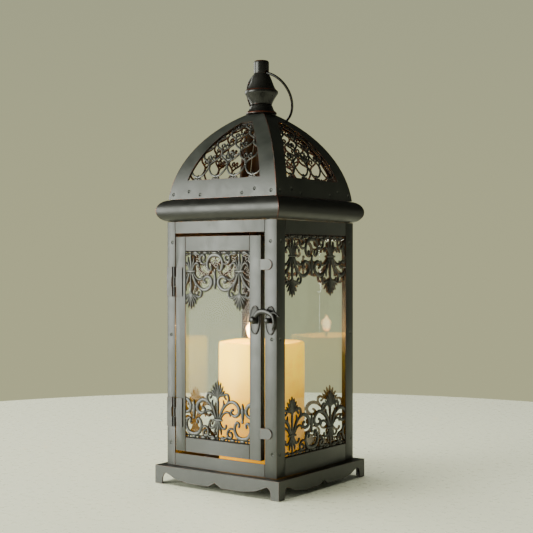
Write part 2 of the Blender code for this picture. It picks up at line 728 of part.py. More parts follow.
def hinge_leaf(name, side, z, knuckles):
    """A leaf on the face beside the hinge line, turned in at its edge, with its share of the knuckles.

    side is -1 for the leaf on the post and 1 for the leaf on the door. knuckles are (low, high) heights
    from the hinge's middle.
    """
    half = HINGE_HEIGHT / 2
    inner = HINGE_X + side * (KNUCKLE_RADIUS + (DOOR_LEAF_SET if side > 0 else 0))
    edge = inner + side * LEAF_SHEET
    far = max(edge + side * LEAF_WIDTH, -HALF + GAP)
    leaf = box(name, (min(edge, far), LEAF_FRONT, z - half), (max(edge, far), LEAF_BACK, z + half))
    for index, (low, high) in enumerate(knuckles):
        web_low, web_high = sorted((inner, edge + side * 0.1 * MM))
        tongue_low, tongue_high = sorted((HINGE_X + side * BORE_RADIUS, edge))
        web = box(
            f"{name}_web_{index}",
            (web_low, LEAF_FRONT, z + low),
            (web_high, HINGE_Y + LEAF_SHEET / 2, z + high),
        )
        tongue = box(
            f"{name}_tongue_{index}",
            (tongue_low, HINGE_Y - LEAF_SHEET / 2, z + low),
            (tongue_high, HINGE_Y + LEAF_SHEET / 2, z + high),
        )
        barrel = mesh_prism(
            f"{name}_knuckle_{index}",
            oval((HINGE_X, HINGE_Y), (KNUCKLE_RADIUS, KNUCKLE_RADIUS), 20),
            "Z",
            z + low,
            z + high,
        )
        for piece in (web, tongue, barrel):
            boolean(leaf, piece, "UNION")
    bore = mesh_prism(
        name + "_bore",
        oval((HINGE_X, HINGE_Y), (BORE_RADIUS, BORE_RADIUS), 16),
        "Z",
        z - half - MM,
        z + half + MM,
    )
    boolean(leaf, bore, "DIFFERENCE")
    return leaf


def hinge(label, z):
    """A three-knuckle hinge: two knuckles on the post's leaf, the middle one on the door's, and a pin."""
    half = HINGE_HEIGHT / 2
    third = half / 3
    hinge_leaf(f"hinge_{label}_post_leaf", -1, z, [(-half, -third), (third, half)])
    door_leaf = hinge_leaf(f"hinge_{label}_door_leaf", 1, z, [(-third + GAP, third - GAP)])
    profile = [(0, half), (PIN_RADIUS, half), (PIN_RADIUS, -half), (0, -half)]
    turned(f"hinge_{label}_pin", profile, STEEL, 14, (HINGE_X, HINGE_Y, z))
    return door_leaf


def door_stop(label, z):
    """A bent tab: its leg lies along the latch stile's return, its round tongue on the face of the post."""
    half = STOP_HEIGHT / 2
    leg_left = DOOR_RIGHT + GAP
    leg_right = leg_left + SHEET
    face_edge = HALF - POST_FACE + STOP_REACH - half
    name = "door_stop_" + label
    leg = box(
        name,
        (leg_left, LEAF_FRONT, z - half),
        (leg_right, -HALF + STILE_RETURN - GAP, z + half),
    )
    outline = [(leg_left, z - half), (face_edge, z - half)]
    outline += arc((face_edge, z), (half, half), -90, 90, 10)[1:] + [(leg_left, z + half)]
    face = mesh_prism(name + "_face", outline, "Y", LEAF_FRONT, LEAF_BACK)
    boolean(leg, face, "UNION")
    return leg


def hinge_stile_outline():
    """The hinge stile's face, its edge cut back beside the hinges so that the door swings clear."""
    reach = HINGE_HEIGHT / 2 + GAP
    cut = DOOR_LEFT + STILE_NOTCH
    outline = rectangle((DOOR_LEFT, DOOR_BOTTOM), (WINDOW_LEFT, DOOR_TOP))
    for middle in (HINGE_UPPER_Z, HINGE_LOWER_Z):
        high, low = middle + reach, middle - reach
        outline += [(DOOR_LEFT, high), (cut, high), (cut, low), (DOOR_LEFT, low)]
    return outline


def latch_stile_section():
    """The latch stile across its length: a face strip, and the return beside the gap to the post."""
    back = -HALF + STILE_RETURN
    return [
        (WINDOW_RIGHT, -HALF),
        (DOOR_RIGHT, -HALF),
        (DOOR_RIGHT, back),
        (DOOR_RIGHT - SHEET, back),
        (DOOR_RIGHT - SHEET, FACE_BACK),
        (WINDOW_RIGHT, FACE_BACK),
    ]


def door_leaf_pieces():
    """The door's frame, pane and pierced strips."""
    pieces = [
        front_plate("door_stile_hinge", [hinge_stile_outline()], -HALF, SHEET),
        mesh_prism("door_stile_latch", latch_stile_section(), "Z", DOOR_BOTTOM, DOOR_TOP),
        box(
            "door_rail_top",
            (WINDOW_LEFT + GAP, -HALF, WINDOW_TOP),
            (WINDOW_RIGHT - GAP, FACE_BACK, DOOR_TOP),
        ),
        box(
            "door_rail_bottom",
            (WINDOW_LEFT + GAP, -HALF, DOOR_BOTTOM),
            (WINDOW_RIGHT - GAP, FACE_BACK, WINDOW_BOTTOM),
        ),
        box(
            "door_glass",
            (WINDOW_LEFT - GLASS_REBATE, GLASS_FRONT, WINDOW_BOTTOM - GLASS_REBATE),
            (WINDOW_RIGHT + GLASS_REBATE, GLASS_FRONT + GLASS, WINDOW_TOP + GLASS_REBATE),
            CLEAR_GLASS,
        ),
    ]
    middle = (WINDOW_LEFT + WINDOW_RIGHT) / 2
    hung = middle + DOOR_PANEL_PERIOD / 2 - DOOR_PANEL_SHIFT
    left, right = WINDOW_LEFT - PANEL_REBATE, WINDOW_RIGHT + PANEL_REBATE
    top = panel_outlines(
        left, right, WINDOW_TOP, WINDOW_TOP - DOOR_TOP_DROP, DOOR_PANEL_PERIOD, hung, PANEL_REBATE
    )
    crest = WINDOW_BOTTOM + DOOR_BOTTOM_RISE
    bottom = panel_outlines(
        left, right, WINDOW_BOTTOM, crest, DOOR_PANEL_PERIOD, middle, PANEL_REBATE
    )
    pieces.append(front_plate("door_filigree_top", top, PANEL_FRONT, PANEL, RUBBED_BRONZE))
    pieces.append(front_plate("door_filigree_bottom", bottom, PANEL_FRONT, PANEL, RUBBED_BRONZE))
    return pieces


def blend(values, t):
    """The value at place t along a smooth curve through these values."""
    i = min(int(t), len(values) - 2)
    f = t - i
    before, after = values[max(i - 1, 0)], values[min(i + 2, len(values) - 1)]
    a, b = values[i], values[i + 1]
    square = 2 * before - 5 * a + 4 * b - after
    cube = 3 * a - before - 3 * b + after
    return 0.5 * (2 * a + (b - before) * f + square * f**2 + cube * f**3)


def ribbon(points, widths, steps):
    """Outline of a band along a smooth curve through the points, with these full widths and round ends."""
    ends = np.linspace(0, len(points) - 1, steps)
    path = [Vector((blend([p[0] for p in points], t), blend([p[1] for p in points], t))) for t in ends]
    half = [blend(widths, t) / 2 for t in ends]
    left, right = [], []
    for i, point in enumerate(path):
        along = (path[min(i + 1, steps - 1)] - path[max(i - 1, 0)]).normalized()
        across = Vector((-along.y, along.x))
        left.append(point + across * half[i])
        right.append(point - across * half[i])

    def cap(centre, radius, start):
        return [Vector(p) for p in arc(centre, (radius, radius), start, start - 180, 8)[1:-1]]

    first = (path[1] - path[0]).normalized()
    last = (path[-1] - path[-2]).normalized()
    end_cap = cap(path[-1], half[-1], math.degrees(math.atan2(last.x, -last.y)))
    start_cap = cap(path[0], half[0], math.degrees(math.atan2(-first.x, first.y)))
    outline = left + end_cap + right[::-1] + start_cap
    return [(p.x, p.y) for p in reversed(outline)]


def latch():
    """Oval plates on stile and post, a peg on the post's, and a hook that pivots on the door's rivet."""
    radii = (LATCH_PLATE_WIDTH / 2, LATCH_PLATE_HEIGHT / 2)
    plate_front = LEAF_BACK - LATCH_SHEET
    door_plate = mesh_prism(
        "latch_plate_door", oval((PIVOT_X, LATCH_Z), radii, 28), "Y", plate_front, LEAF_BACK
    )
    head_back = HOOK_BACK - HOOK_DEPTH - GAP
    rivet = mesh_prism(
        "latch_rivet_shaft",
        oval((PIVOT_X, LATCH_Z), (RIVET_RADIUS, RIVET_RADIUS), 14),
        "Y",
        head_back - 0.4 * MM,
        LEAF_BACK - LATCH_SHEET / 2,
    )
    head = mesh_prism(
        "latch_rivet_head",
        oval((PIVOT_X, LATCH_Z), (RIVET_HEAD, RIVET_HEAD), 18),
        "Y",
        head_back - MM,
        head_back,
    )
    boolean(door_plate, rivet, "UNION")
    boolean(door_plate, head, "UNION")
    post_plate = mesh_prism(
        "latch_plate_post", oval((PEG_X, LATCH_Z), radii, 28), "Y", plate_front, LEAF_BACK
    )
    peg = mesh_prism(
        "latch_peg",
        oval((PEG_X, LATCH_Z), (PEG_RADIUS, PEG_RADIUS), 18),
        "Y",
        plate_front - PEG_LENGTH,
        LEAF_BACK - LATCH_SHEET / 2,
    )
    boolean(post_plate, peg, "UNION")

    span = PEG_X - PIVOT_X
    over = PEG_RADIUS + GAP + HOOK_WIDTH / 2
    past = span + over + 0.2 * MM
    spine = [
        (0, 0),
        (0.06 * span, 0.62 * over),
        (0.32 * span, 1.42 * over),
        (0.66 * span, 1.6 * over),
        (span, 1.3 * over),
        (span + 0.78 * over, 0.78 * over),
        (past + 0.3 * MM, -0.2 * over),
        (past, -0.95 * over),
        (past - 1.1 * MM, -1.6 * over),
    ]
    widths = [w * HOOK_WIDTH for w in (1.75, 1.3, 1.0, 0.96, 1.1, 1.0, 0.75, 0.5, 0.25)]
    outline = ribbon([(PIVOT_X + u, LATCH_Z + v) for u, v in spine], widths, 34)
    eye = mesh_prism(
        "latch_hook_eye",
        oval((PIVOT_X, LATCH_Z), (RIVET_RADIUS + GAP, RIVET_RADIUS + GAP), 14),
        "Y",
        HOOK_BACK - HOOK_DEPTH - MM,
        HOOK_BACK + MM,
    )
    hook = mesh_prism("latch_hook", outline, "Y", HOOK_BACK - HOOK_DEPTH, HOOK_BACK)
    shoulder = (PIVOT_X + span + 0.5 * over, LATCH_Z + 1.3 * over)
    thumb_path = [
        shoulder,
        (shoulder[0] + 2.6 * MM, shoulder[1] + 0.5 * MM),
        (shoulder[0] + 5.2 * MM, shoulder[1] - 0.5 * MM),
        (shoulder[0] + 7 * MM, shoulder[1] - 2.2 * MM),
    ]
    thumb_outline = ribbon(thumb_path, [1.8 * MM, 1.6 * MM, 1.6 * MM, 2.4 * MM], 12)
    thumb = mesh_prism(
        "latch_hook_thumb", thumb_outline, "Y", HOOK_BACK - HOOK_DEPTH + 0.2 * MM, HOOK_BACK - 0.2 * MM
    )
    boolean(hook, thumb, "UNION")
    boolean(hook, eye, "DIFFERENCE")
    return door_plate, hook


def candle():
    """A pillar with a rounded rim round a shallow pool, and its wick, which stands off the middle."""
    radius = CANDLE_DIAMETER / 2
    bottom = FLOOR_Z + GAP
    top = CANDLE_HEIGHT
    well = WICK_RADIUS + GAP
    pool = top - CANDLE_POOL
    profile = [(0, pool), (radius - CANDLE_RIM, pool), (radius - 0.55 * CANDLE_RIM, top - 0.7 * MM)]
    profile += [(radius - 0.35 * CANDLE_RIM, top), (radius - 0.2 * CANDLE_RIM, top - 0.1 * MM)]
    profile += [(radius, top - 1.4 * MM), (radius, MM), (radius - MM, 0), (0, 0)]
    pillar = turned("candle_pillar", profile, IVORY_WAX, 32, (0, 0, bottom))
    seat = bottom + pool - 2 * MM
    hole = mesh_prism(
        "wick_hole", oval((WICK_X, WICK_Y), (well, well), 12), "Z", seat, bottom + top + MM
    )
    boolean(pillar, hole, "DIFFERENCE")
    wick_profile = [(0, WICK_HEIGHT), (0.6 * WICK_RADIUS, WICK_HEIGHT), (WICK_RADIUS, 0.8 * WICK_HEIGHT)]
    wick_profile += [(WICK_RADIUS, 0), (0, 0)]
    wick = turned("candle_wick", wick_profile, CHARRED_WICK, 10, (WICK_X, WICK_Y, seat + GAP))
    return pillar, wick


def clear_scene():
    for obj in list(bpy.data.objects):
        bpy.data.objects.remove(obj, do_unlink=True)


def build():
    clear_scene()
    base_tray()
    posts()
    body_rails()
    side_panels()
    cornice()
    dome()
    finial()
    ring_handle()
    door_pieces = door_leaf_pieces()
    door_pieces += [hinge("upper", HINGE_UPPER_Z), hinge("lower", HINGE_LOWER_Z)]
    door_pieces += [door_stop("upper", STOP_UPPER_Z), door_stop("lower", STOP_LOWER_Z)]
    latch_plate, hook = latch()
    door_axis = axis_empty("door_axis", (HINGE_X, HINGE_Y, (DOOR_BOTTOM + DOOR_TOP) / 2))
    under(door_axis, *door_pieces, latch_plate)
    under(axis_empty("latch_axis", (PIVOT_X, HOOK_BACK, LATCH_Z)), hook)
    under(axis_empty("candle_lift_axis", (0, 0, FLOOR_Z)), *candle())


build()
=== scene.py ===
"""Looks of the candle lantern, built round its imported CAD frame. Lengths are in metres, +Z is up."""

import json
import math

import bmesh
import bpy
import numpy as np
from mathutils import Matrix, Vector


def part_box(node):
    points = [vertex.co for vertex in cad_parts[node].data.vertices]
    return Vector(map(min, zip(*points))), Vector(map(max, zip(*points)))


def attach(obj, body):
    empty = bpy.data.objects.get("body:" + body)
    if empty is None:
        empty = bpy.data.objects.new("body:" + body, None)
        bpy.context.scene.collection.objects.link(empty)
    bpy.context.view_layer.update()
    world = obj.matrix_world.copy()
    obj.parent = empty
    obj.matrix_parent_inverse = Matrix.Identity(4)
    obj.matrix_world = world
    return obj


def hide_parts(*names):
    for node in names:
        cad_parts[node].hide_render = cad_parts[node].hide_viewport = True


MM = 0.001
QUARTERS = {"front": 0, "right": 1, "back": 2, "left": 3}

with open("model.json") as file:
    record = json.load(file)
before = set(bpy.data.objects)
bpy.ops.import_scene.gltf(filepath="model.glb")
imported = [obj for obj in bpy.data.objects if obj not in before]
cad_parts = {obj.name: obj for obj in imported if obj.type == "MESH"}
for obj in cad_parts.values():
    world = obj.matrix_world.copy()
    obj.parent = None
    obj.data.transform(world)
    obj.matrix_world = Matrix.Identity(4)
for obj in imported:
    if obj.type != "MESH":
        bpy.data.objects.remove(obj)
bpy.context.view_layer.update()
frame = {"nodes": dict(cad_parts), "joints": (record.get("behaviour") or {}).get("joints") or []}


# ---------------------------------------------------------------- materials


class Nodes:
    """A short way to write one material's node tree."""

    def __init__(self, name):
        self.material = bpy.data.materials.new(name)
        self.material.use_nodes = True
        self.tree = self.material.node_tree
        self.shader = self.tree.nodes["Principled BSDF"]
        self.output = self.tree.nodes["Material Output"]
        coordinates = self.add("ShaderNodeTexCoord")
        self.place = coordinates.outputs["Object"]
        self.facing = coordinates.outputs["Normal"]

    def add(self, kind, **settings):
        node = self.tree.nodes.new(kind)
        for key, value in settings.items():
            setattr(node, key, value)
        return node

    def link(self, source, target):
        self.tree.links.new(source, target)

    def put(self, value, socket):
        """Links a socket, or sets a plain value."""
        if isinstance(value, bpy.types.NodeSocket):
            self.link(value, socket)
        else:
            socket.default_value = value

    def noise(self, scale, detail=3.0, roughness=0.5, stretch=None):
        node = self.add("ShaderNodeTexNoise")
        node.inputs["Scale"].default_value = scale
        node.inputs["Detail"].default_value = detail
        node.inputs["Roughness"].default_value = roughness
        source = self.place
        if stretch:
            mapping = self.add("ShaderNodeMapping")
            mapping.inputs["Scale"].default_value = stretch
            self.link(self.place, mapping.inputs["Vector"])
            source = mapping.outputs["Vector"]
        self.link(source, node.inputs["Vector"])
        return node.outputs["Fac"]

    def ramp(self, source, low, high, start=0.0, end=1.0):
        """Maps start..end of the source to low..high, held at the ends."""
        node = self.add("ShaderNodeMapRange")
        node.interpolation_type = "SMOOTHSTEP"
        node.inputs["From Min"].default_value = start
        node.inputs["From Max"].default_value = end
        node.inputs["To Min"].default_value = low
        node.inputs["To Max"].default_value = high
        self.link(source, node.inputs["Value"])
        return node.outputs["Result"]

    def math(self, operation, first, second=0.0):
        node = self.add("ShaderNodeMath", operation=operation)
        self.put(first, node.inputs[0])
        self.put(second, node.inputs[1])
        return node.outputs["Value"]

    def mix(self, share, first, second):
        """Mixes two colours."""
        node = self.add("ShaderNodeMix", data_type="RGBA")
        self.put(share, node.inputs["Factor"])
        self.put(first, node.inputs[6])
        self.put(second, node.inputs[7])
        return node.outputs[2]

    def bump(self, height, strength, distance, normal=None):
        node = self.add("ShaderNodeBump")
        node.inputs["Strength"].default_value = strength
        node.inputs["Distance"].default_value = distance
        self.link(height, node.inputs["Height"])
        if normal is not None:
            self.link(normal, node.inputs["Normal"])
        return node.outputs["Normal"]

    def edges(self, radius, start, end):
        """A mask that is 1 on edges and 0 on flat ground."""
        rounded = self.add("ShaderNodeBevel", samples=6)
        rounded.inputs["Radius"].default_value = radius
        plain = self.add("ShaderNodeNewGeometry").outputs["Normal"]
        dot = self.add("ShaderNodeVectorMath", operation="DOT_PRODUCT")
        self.link(rounded.outputs["Normal"], dot.inputs[0])
        self.link(plain, dot.inputs[1])
        return self.ramp(dot.outputs["Value"], 1.0, 0.0, start, end)

    def axes(self):
        """The three coordinates of a place in the frame."""
        split = self.add("ShaderNodeSeparateXYZ")
        self.link(self.place, split.inputs["Vector"])
        return split.outputs["X"], split.outputs["Y"], split.outputs["Z"]

    def square_sum(self, first, second):
        return self.math("ADD", self.math("MULTIPLY", first, first), self.math("MULTIPLY", second, second))

    def height(self, low, high):
        """0 at this height in the frame, 1 at that one."""
        return self.ramp(self.axes()[2], 0.0, 1.0, low, high)

    def level(self, height, reach):
        """1 at this height in the frame, 0 beyond this reach from it."""
        away = self.math("ABSOLUTE", self.math("SUBTRACT", self.axes()[2], height))
        return self.ramp(away, 1.0, 0.0, 0.3 * reach, reach)

    def outward(self, start, end):
        """0 on faces turned to the lantern's axis, 1 on those turned squarely away from it."""
        flat = self.add("ShaderNodeVectorMath", operation="MULTIPLY")
        flat.inputs[1].default_value = (1, 1, 0)
        self.link(self.place, flat.inputs[0])
        facing = self.add("ShaderNodeVectorMath", operation="DOT_PRODUCT")
        self.link(flat.outputs["Vector"], facing.inputs[0])
        self.link(self.facing, facing.inputs[1])
        return self.ramp(facing.outputs["Value"], 0.0, 1.0, start, end)

    def line_distance(self, x, y):
        """The distance from an upright line."""
        across, deep, _ = self.axes()
        squares = self.square_sum(self.math("SUBTRACT", across, x), self.math("SUBTRACT", deep, y))
        return self.math("SQRT", squares)

    def rise(self, start, end):
        """0 where the surface is this far out from the lantern's middle plane, 1 at that distance."""
        across, deep, _ = self.axes()
        out = self.math("MAXIMUM", self.math("ABSOLUTE", across), self.math("ABSOLUTE", deep))
        return self.ramp(out, 0.0, 1.0, start, end)

    def spots(self, places, radius):
        """1 at small round spots, given as (distance along a face from its middle, height)."""
        across, deep, height = self.axes()
        along = self.math("MINIMUM", self.math("ABSOLUTE", across), self.math("ABSOLUTE", deep))
        spot = None
        for u, z in places:
            squares = self.square_sum(self.math("SUBTRACT", along, u), self.math("SUBTRACT", height, z))
            one = self.ramp(squares, 1.0, 0.0, 0.0, radius**2)
            spot = one if spot is None else self.math("MAXIMUM", spot, one)
        return spot

    def shade(self, **values):
        for key, value in values.items():
            self.put(value, self.shader.inputs[key.replace("_", " ")])


def painted_sheet(
    name, dark, light, wear_share, gloss, specular, welds=(), texture=1.0, shade_line=None, bands=()
):
    """Satin black paint over copper-coloured primer, rubbed through along the edges.

    welds are small dimples, an upright line may be given with painted deep shade round it, and bands are
    heights at which the paint is rubbed through all round.
    """
    n = Nodes(name)
    broad = n.noise(18, 4, 0.6)
    cloud = n.noise(75, 5, 0.65)
    grain = n.noise(1400, 2, 0.6)
    peel = n.noise(420, 2, 0.5)
    tone = n.math("ADD", n.math("MULTIPLY", broad, 0.6), n.math("MULTIPLY", cloud, 0.4))
    paint = n.mix(n.ramp(tone, 0.0, 1.0, 0.35, 0.66), dark, light)
    rub = n.math("MULTIPLY", n.edges(0.7 * MM, 0.72, 0.985), n.ramp(cloud, 0.1, 1.0, 0.36, 0.60))
    speck = n.math("MULTIPLY", n.ramp(n.noise(520, 4, 0.7), 0.0, 1.0, 0.70, 0.78), 0.25)
    for level in bands:
        ring = n.math("MULTIPLY", n.level(level, 0.6 * MM), n.ramp(cloud, 0.25, 1.0, 0.36, 0.60))
        rub = n.math("MAXIMUM", rub, ring)
    wear = n.math("MULTIPLY", n.math("MAXIMUM", rub, speck), wear_share)
    copper = n.mix(n.ramp(grain, 0.0, 1.0, 0.3, 0.7), (0.10, 0.022, 0.010, 1), (0.24, 0.060, 0.028, 1))
    primer = n.mix(n.ramp(cloud, 0.0, 1.0, 0.3, 0.7), (0.009, 0.004, 0.003, 1), (0.020, 0.007, 0.005, 1))
    outer = n.mix(wear, paint, copper)
    # Painted shade: near black within about 2 mm of the given upright line, where a recess lies in shade.
    if shade_line:
        clear = n.ramp(n.line_distance(shade_line.x, shade_line.y), 0.0, 1.0, 1.9 * MM, 2.3 * MM)
        outer = n.mix(clear, (0.003, 0.003, 0.003, 1), outer)
    dull = n.ramp(cloud, gloss - 0.05, gloss + 0.07, 0.3, 0.7)
    rough = n.math("ADD", dull, n.math("MULTIPLY", grain, 0.05))
    relief = n.bump(peel, 0.12 * texture, 0.12 * MM, n.bump(cloud, 0.10 * texture, 0.5 * MM))
    if welds:
        relief = n.bump(n.math("SUBTRACT", 1.0, n.spots(welds, 1.5 * MM)), 0.9, 0.8 * MM, relief)
    n.shade(
        Base_Color=n.mix(n.outward(-4 * MM, 0), primer, outer),
        Metallic=n.math("MULTIPLY", wear, 0.7),
        Roughness=n.math("SUBTRACT", rough, n.math("MULTIPLY", wear, 0.08)),
        Specular_IOR_Level=specular,
        Normal=n.bump(grain, 0.10 * texture, 0.05 * MM, relief),
    )
    return n.material


def cast_relief(name, painted_shade_mask):
    """Soft relief in black paint, with painted shade (near black) in its hollows and on its flanks, and
    primer showing inside.

    The given mask function, called with the nodes, gives 0 where the shade is painted and 1 on the crests.
    """
    n = Nodes(name)
    cloud = n.noise(160, 4, 0.6)
    grain = n.noise(1800, 3, 0.6)
    crest = painted_shade_mask(n)
    base = n.mix(n.ramp(cloud, 0.0, 1.0, 0.35, 0.65), (0.022, 0.023, 0.020, 1), (0.055, 0.055, 0.049, 1))
    # Painted shade: near black where the mask is low, in the hollows and on the flanks of the relief.
    shaded = n.mix(crest, (0.003, 0.002, 0.002, 1), base)
    rub = n.math("MULTIPLY", n.edges(0.4 * MM, 0.80, 0.99), n.ramp(cloud, 0.0, 0.30, 0.42, 0.66))
    primer = n.mix(n.ramp(grain, 0.0, 1.0, 0.3, 0.7), (0.014, 0.006, 0.004, 1), (0.036, 0.012, 0.008, 1))
    outer = n.mix(n.math("MULTIPLY", rub, crest), shaded, (0.15, 0.05, 0.03, 1))
    dull = n.math("MULTIPLY", n.math("SUBTRACT", 1.0, crest), 0.6)
    rough = n.math("ADD", n.ramp(grain, 0.24, 0.36, 0.3, 0.7), dull)
    n.shade(
        Base_Color=n.mix(n.outward(-4 * MM, 0), primer, outer),
        Roughness=rough,
        Specular_IOR_Level=0.6,
        Normal=n.bump(grain, 0.12, 0.08 * MM, n.bump(cloud, 0.15, 0.3 * MM)),
    )
    return n.material


def clear_glass(name, ior):
    """Float glass with a faint green body and a trace of dust. Lamps shine through it."""
    n = Nodes(name)
    dust = n.noise(55, 5, 0.7)
    wave = n.noise(14, 2, 0.5)
    n.shade(
        Base_Color=n.mix(n.ramp(dust, 0.0, 1.0, 0.4, 0.7), (0.93, 0.965, 0.945, 1), (0.90, 0.935, 0.91, 1)),
        Roughness=n.ramp(dust, 0.004, 0.02, 0.45, 0.75),
        IOR=ior,
        Transmission_Weight=1.0,
        Normal=n.bump(wave, 0.01, 0.3 * MM),
    )
    path = n.add("ShaderNodeLightPath")
    through = n.add("ShaderNodeBsdfTransparent")
    through.inputs["Color"].default_value = (0.93, 0.96, 0.94, 1)
    choose = n.add("ShaderNodeMixShader")
    n.put(n.math("MAXIMUM", path.outputs["Is Shadow Ray"], path.outputs["Is Diffuse Ray"]), choose.inputs[0])
    n.link(n.shader.outputs["BSDF"], choose.inputs[1])
    n.link(through.outputs["BSDF"], choose.inputs[2])
    n.link(choose.outputs["Shader"], n.output.inputs["Surface"])
    return n.material


def ivory_wax(bottom, top, wick_x, wick_y):
    """Pillar wax with its flame's light painted on as a glow: brightest near the top and on the side of the
    wick.
    """
    n = Nodes("candle_wax")
    lift = n.height(bottom, top)
    mottle = n.noise(60, 4, 0.6)
    frost = n.noise(700, 3, 0.6)
    near = n.ramp(n.line_distance(wick_x, wick_y), 1.0, 0.30, 27 * MM, 43 * MM)
    # Painted glow: emission standing for the flame's light showing through the wax.
    glow = n.mix(n.ramp(lift, 0.0, 1.0, 0.25, 1.0), (1.0, 0.42, 0.0, 1), (1.0, 0.58, 0.0, 1))
    power = n.math("ADD", n.math("MULTIPLY", n.math("MULTIPLY", lift, lift), 3.4), 1.5)
    cloudy = n.ramp(mottle, 0.92, 1.06, 0.3, 0.7)
    # Wax colour: the wax's own tone, tinted deep orange as painted flame light.
    wax = n.mix(n.ramp(mottle, 0.0, 1.0, 0.35, 0.65), (0.50, 0.25, 0.012, 1), (0.60, 0.33, 0.022, 1))
    n.shade(
        Base_Color=wax,
        Roughness=n.ramp(frost, 0.36, 0.52, 0.3, 0.7),
        Subsurface_Weight=0.4,
        Subsurface_Radius=(0.012, 0.006, 0.0025),
        Subsurface_Scale=1.0,
        Emission_Color=glow,
        Emission_Strength=n.math("MULTIPLY", n.math("MULTIPLY", power, near), cloudy),
        Normal=n.bump(frost, 0.12, 0.1 * MM, n.bump(mottle, 0.25, 0.5 * MM)),
    )
    return n.material


def burning_flame(bottom, top):
    """A candle flame: darker and redder at its foot and tip."""
    n = Nodes("candle_flame")
    lift = n.height(bottom, top)
    flicker = n.noise(180, 2, 0.5, (1, 1, 0.3))
    body = n.mix(n.ramp(lift, 0.0, 1.0, 0.0, 0.22), (0.9, 0.30, 0.05, 1), (1.0, 0.74, 0.36, 1))
    whole = n.mix(n.ramp(lift, 0.0, 1.0, 0.70, 1.0), body, (1.0, 0.50, 0.12, 1))
    n.shade(
        Base_Color=n.mix(flicker, (0.9, 0.6, 0.3, 1), (1.0, 0.7, 0.4, 1)),
        Roughness=0.9,
        Emission_Color=whole,
        Emission_Strength=n.ramp(flicker, 55.0, 70.0, 0.3, 0.7),
    )
    return n.material


def brushed_steel():
    n = Nodes("zinc_steel")
    streak = n.noise(500, 4, 0.6, (1, 1, 0.08))
    spot = n.noise(150, 4, 0.6)
    n.shade(
        Base_Color=n.mix(n.ramp(spot, 0.0, 1.0, 0.4, 0.7), (0.34, 0.33, 0.31, 1), (0.16, 0.13, 0.11, 1)),
        Metallic=1.0,
        Roughness=n.ramp(streak, 0.26, 0.46, 0.3, 0.7),
        Normal=n.bump(streak, 0.15, 0.06 * MM),
    )
    return n.material


def charred_wick():
    n = Nodes("charred_wick")
    strand = n.noise(900, 4, 0.7, (1, 1, 0.35))
    n.shade(
        Base_Color=n.mix(strand, (0.012, 0.010, 0.009, 1), (0.07, 0.05, 0.035, 1)),
        Roughness=0.92,
        Normal=n.bump(strand, 0.6, 0.2 * MM),
    )
    return n.material


def pale_floor():
    n = Nodes("floor")
    cloud = n.noise(6, 3, 0.5)
    fine = n.noise(160, 3, 0.6)
    n.shade(
        Base_Color=n.mix(cloud, (0.84, 0.86, 0.68, 1), (0.86, 0.88, 0.71, 1)),
        Roughness=n.ramp(fine, 0.26, 0.34, 0.3, 0.7),
        Normal=n.bump(fine, 0.015, 0.1 * MM),
    )
    return n.material


# Spot welds, as (distance along a face from its middle, height).
WELDS = [
    (49 * MM, 235 * MM), (33 * MM, 237 * MM), (21 * MM, 234 * MM), (50.5 * MM, 121 * MM), (51 * MM, 33 * MM),
    (49.5 * MM, 196 * MM),
]
BLACK = ((0.020, 0.022, 0.019, 1), (0.040, 0.043, 0.037, 1))
DEEP_BLACK = ((0.009, 0.009, 0.008, 1), (0.018, 0.017, 0.015, 1))
PAINT = painted_sheet("satin_black_paint", *BLACK, 0.75, 0.39, 0.55, WELDS)
ROOF_PAINT = painted_sheet("satin_black_roof", *BLACK, 1.0, 0.38, 0.5, WELDS)
# Painted shade: the cornice's paint is a darker, duller copy of the satin paint, for the shade on its top and
# underside.
CORNICE_SHADED_PAINT = painted_sheet("satin_black_cornice_shaded", *DEEP_BLACK, 1.0, 0.35, 0.40)
finial_low, finial_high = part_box("finial")
collar_low, collar_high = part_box("finial_collar")
GLOSS_PAINT = painted_sheet(
    "gloss_black_paint", *DEEP_BLACK, 1.0, 0.28, 0.34, texture=0.3,
    bands=(collar_high.z + 12.2 * MM, finial_high.z - 0.5 * MM, collar_low.z + 1.2 * MM),
)
WIRE_PAINT = painted_sheet("wire_black_paint", *DEEP_BLACK, 0.1, 0.34, 0.35, texture=0.3)
# Hinge paint with painted shade round the hinge pin, where the knuckle sits deep in its slot.
hinge_low, hinge_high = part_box("hinge_upper_pin")
HINGE_PAINT_AND_SHADE = painted_sheet(
    "hinge_paint_and_shade", *BLACK, 0.6, 0.40, 0.52, shade_line=(hinge_low + hinge_high) / 2
)
strip_low, strip_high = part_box("door_filigree_top")
strip_ground = -(strip_low.y + strip_high.y) / 2
# Painted shade on the strips: dark where the relief stands less than about 0.85 mm off its ground.
RELIEF = cast_relief("relief_bronze", lambda n: n.rise(strip_ground + 0.1 * MM, strip_ground + 0.85 * MM))
# Painted shade on the lattice: dark on faces turned sideways or inwards, light only where they face outward.
LATTICE = cast_relief("lattice_bronze", lambda n: n.outward(6 * MM, 26 * MM))
DOOR_GLASS = clear_glass("door_pane_glass", 1.2)
GLASS = clear_glass("pane_glass", 1.46)
STEEL = brushed_steel()
WICK = charred_wick()


# ---------------------------------------------------------------- mesh tools


def closed_mesh(name, points, faces):
    """A mesh with all its faces turned outwards."""
    mesh = bpy.data.meshes.new(name)
    mesh.from_pydata([tuple(p) for p in points], [], faces)
    mesh.validate()
    work = bmesh.new()
    work.from_mesh(mesh)
    bmesh.ops.recalc_face_normals(work, faces=work.faces)
    work.to_mesh(mesh)
    work.free()
    return mesh


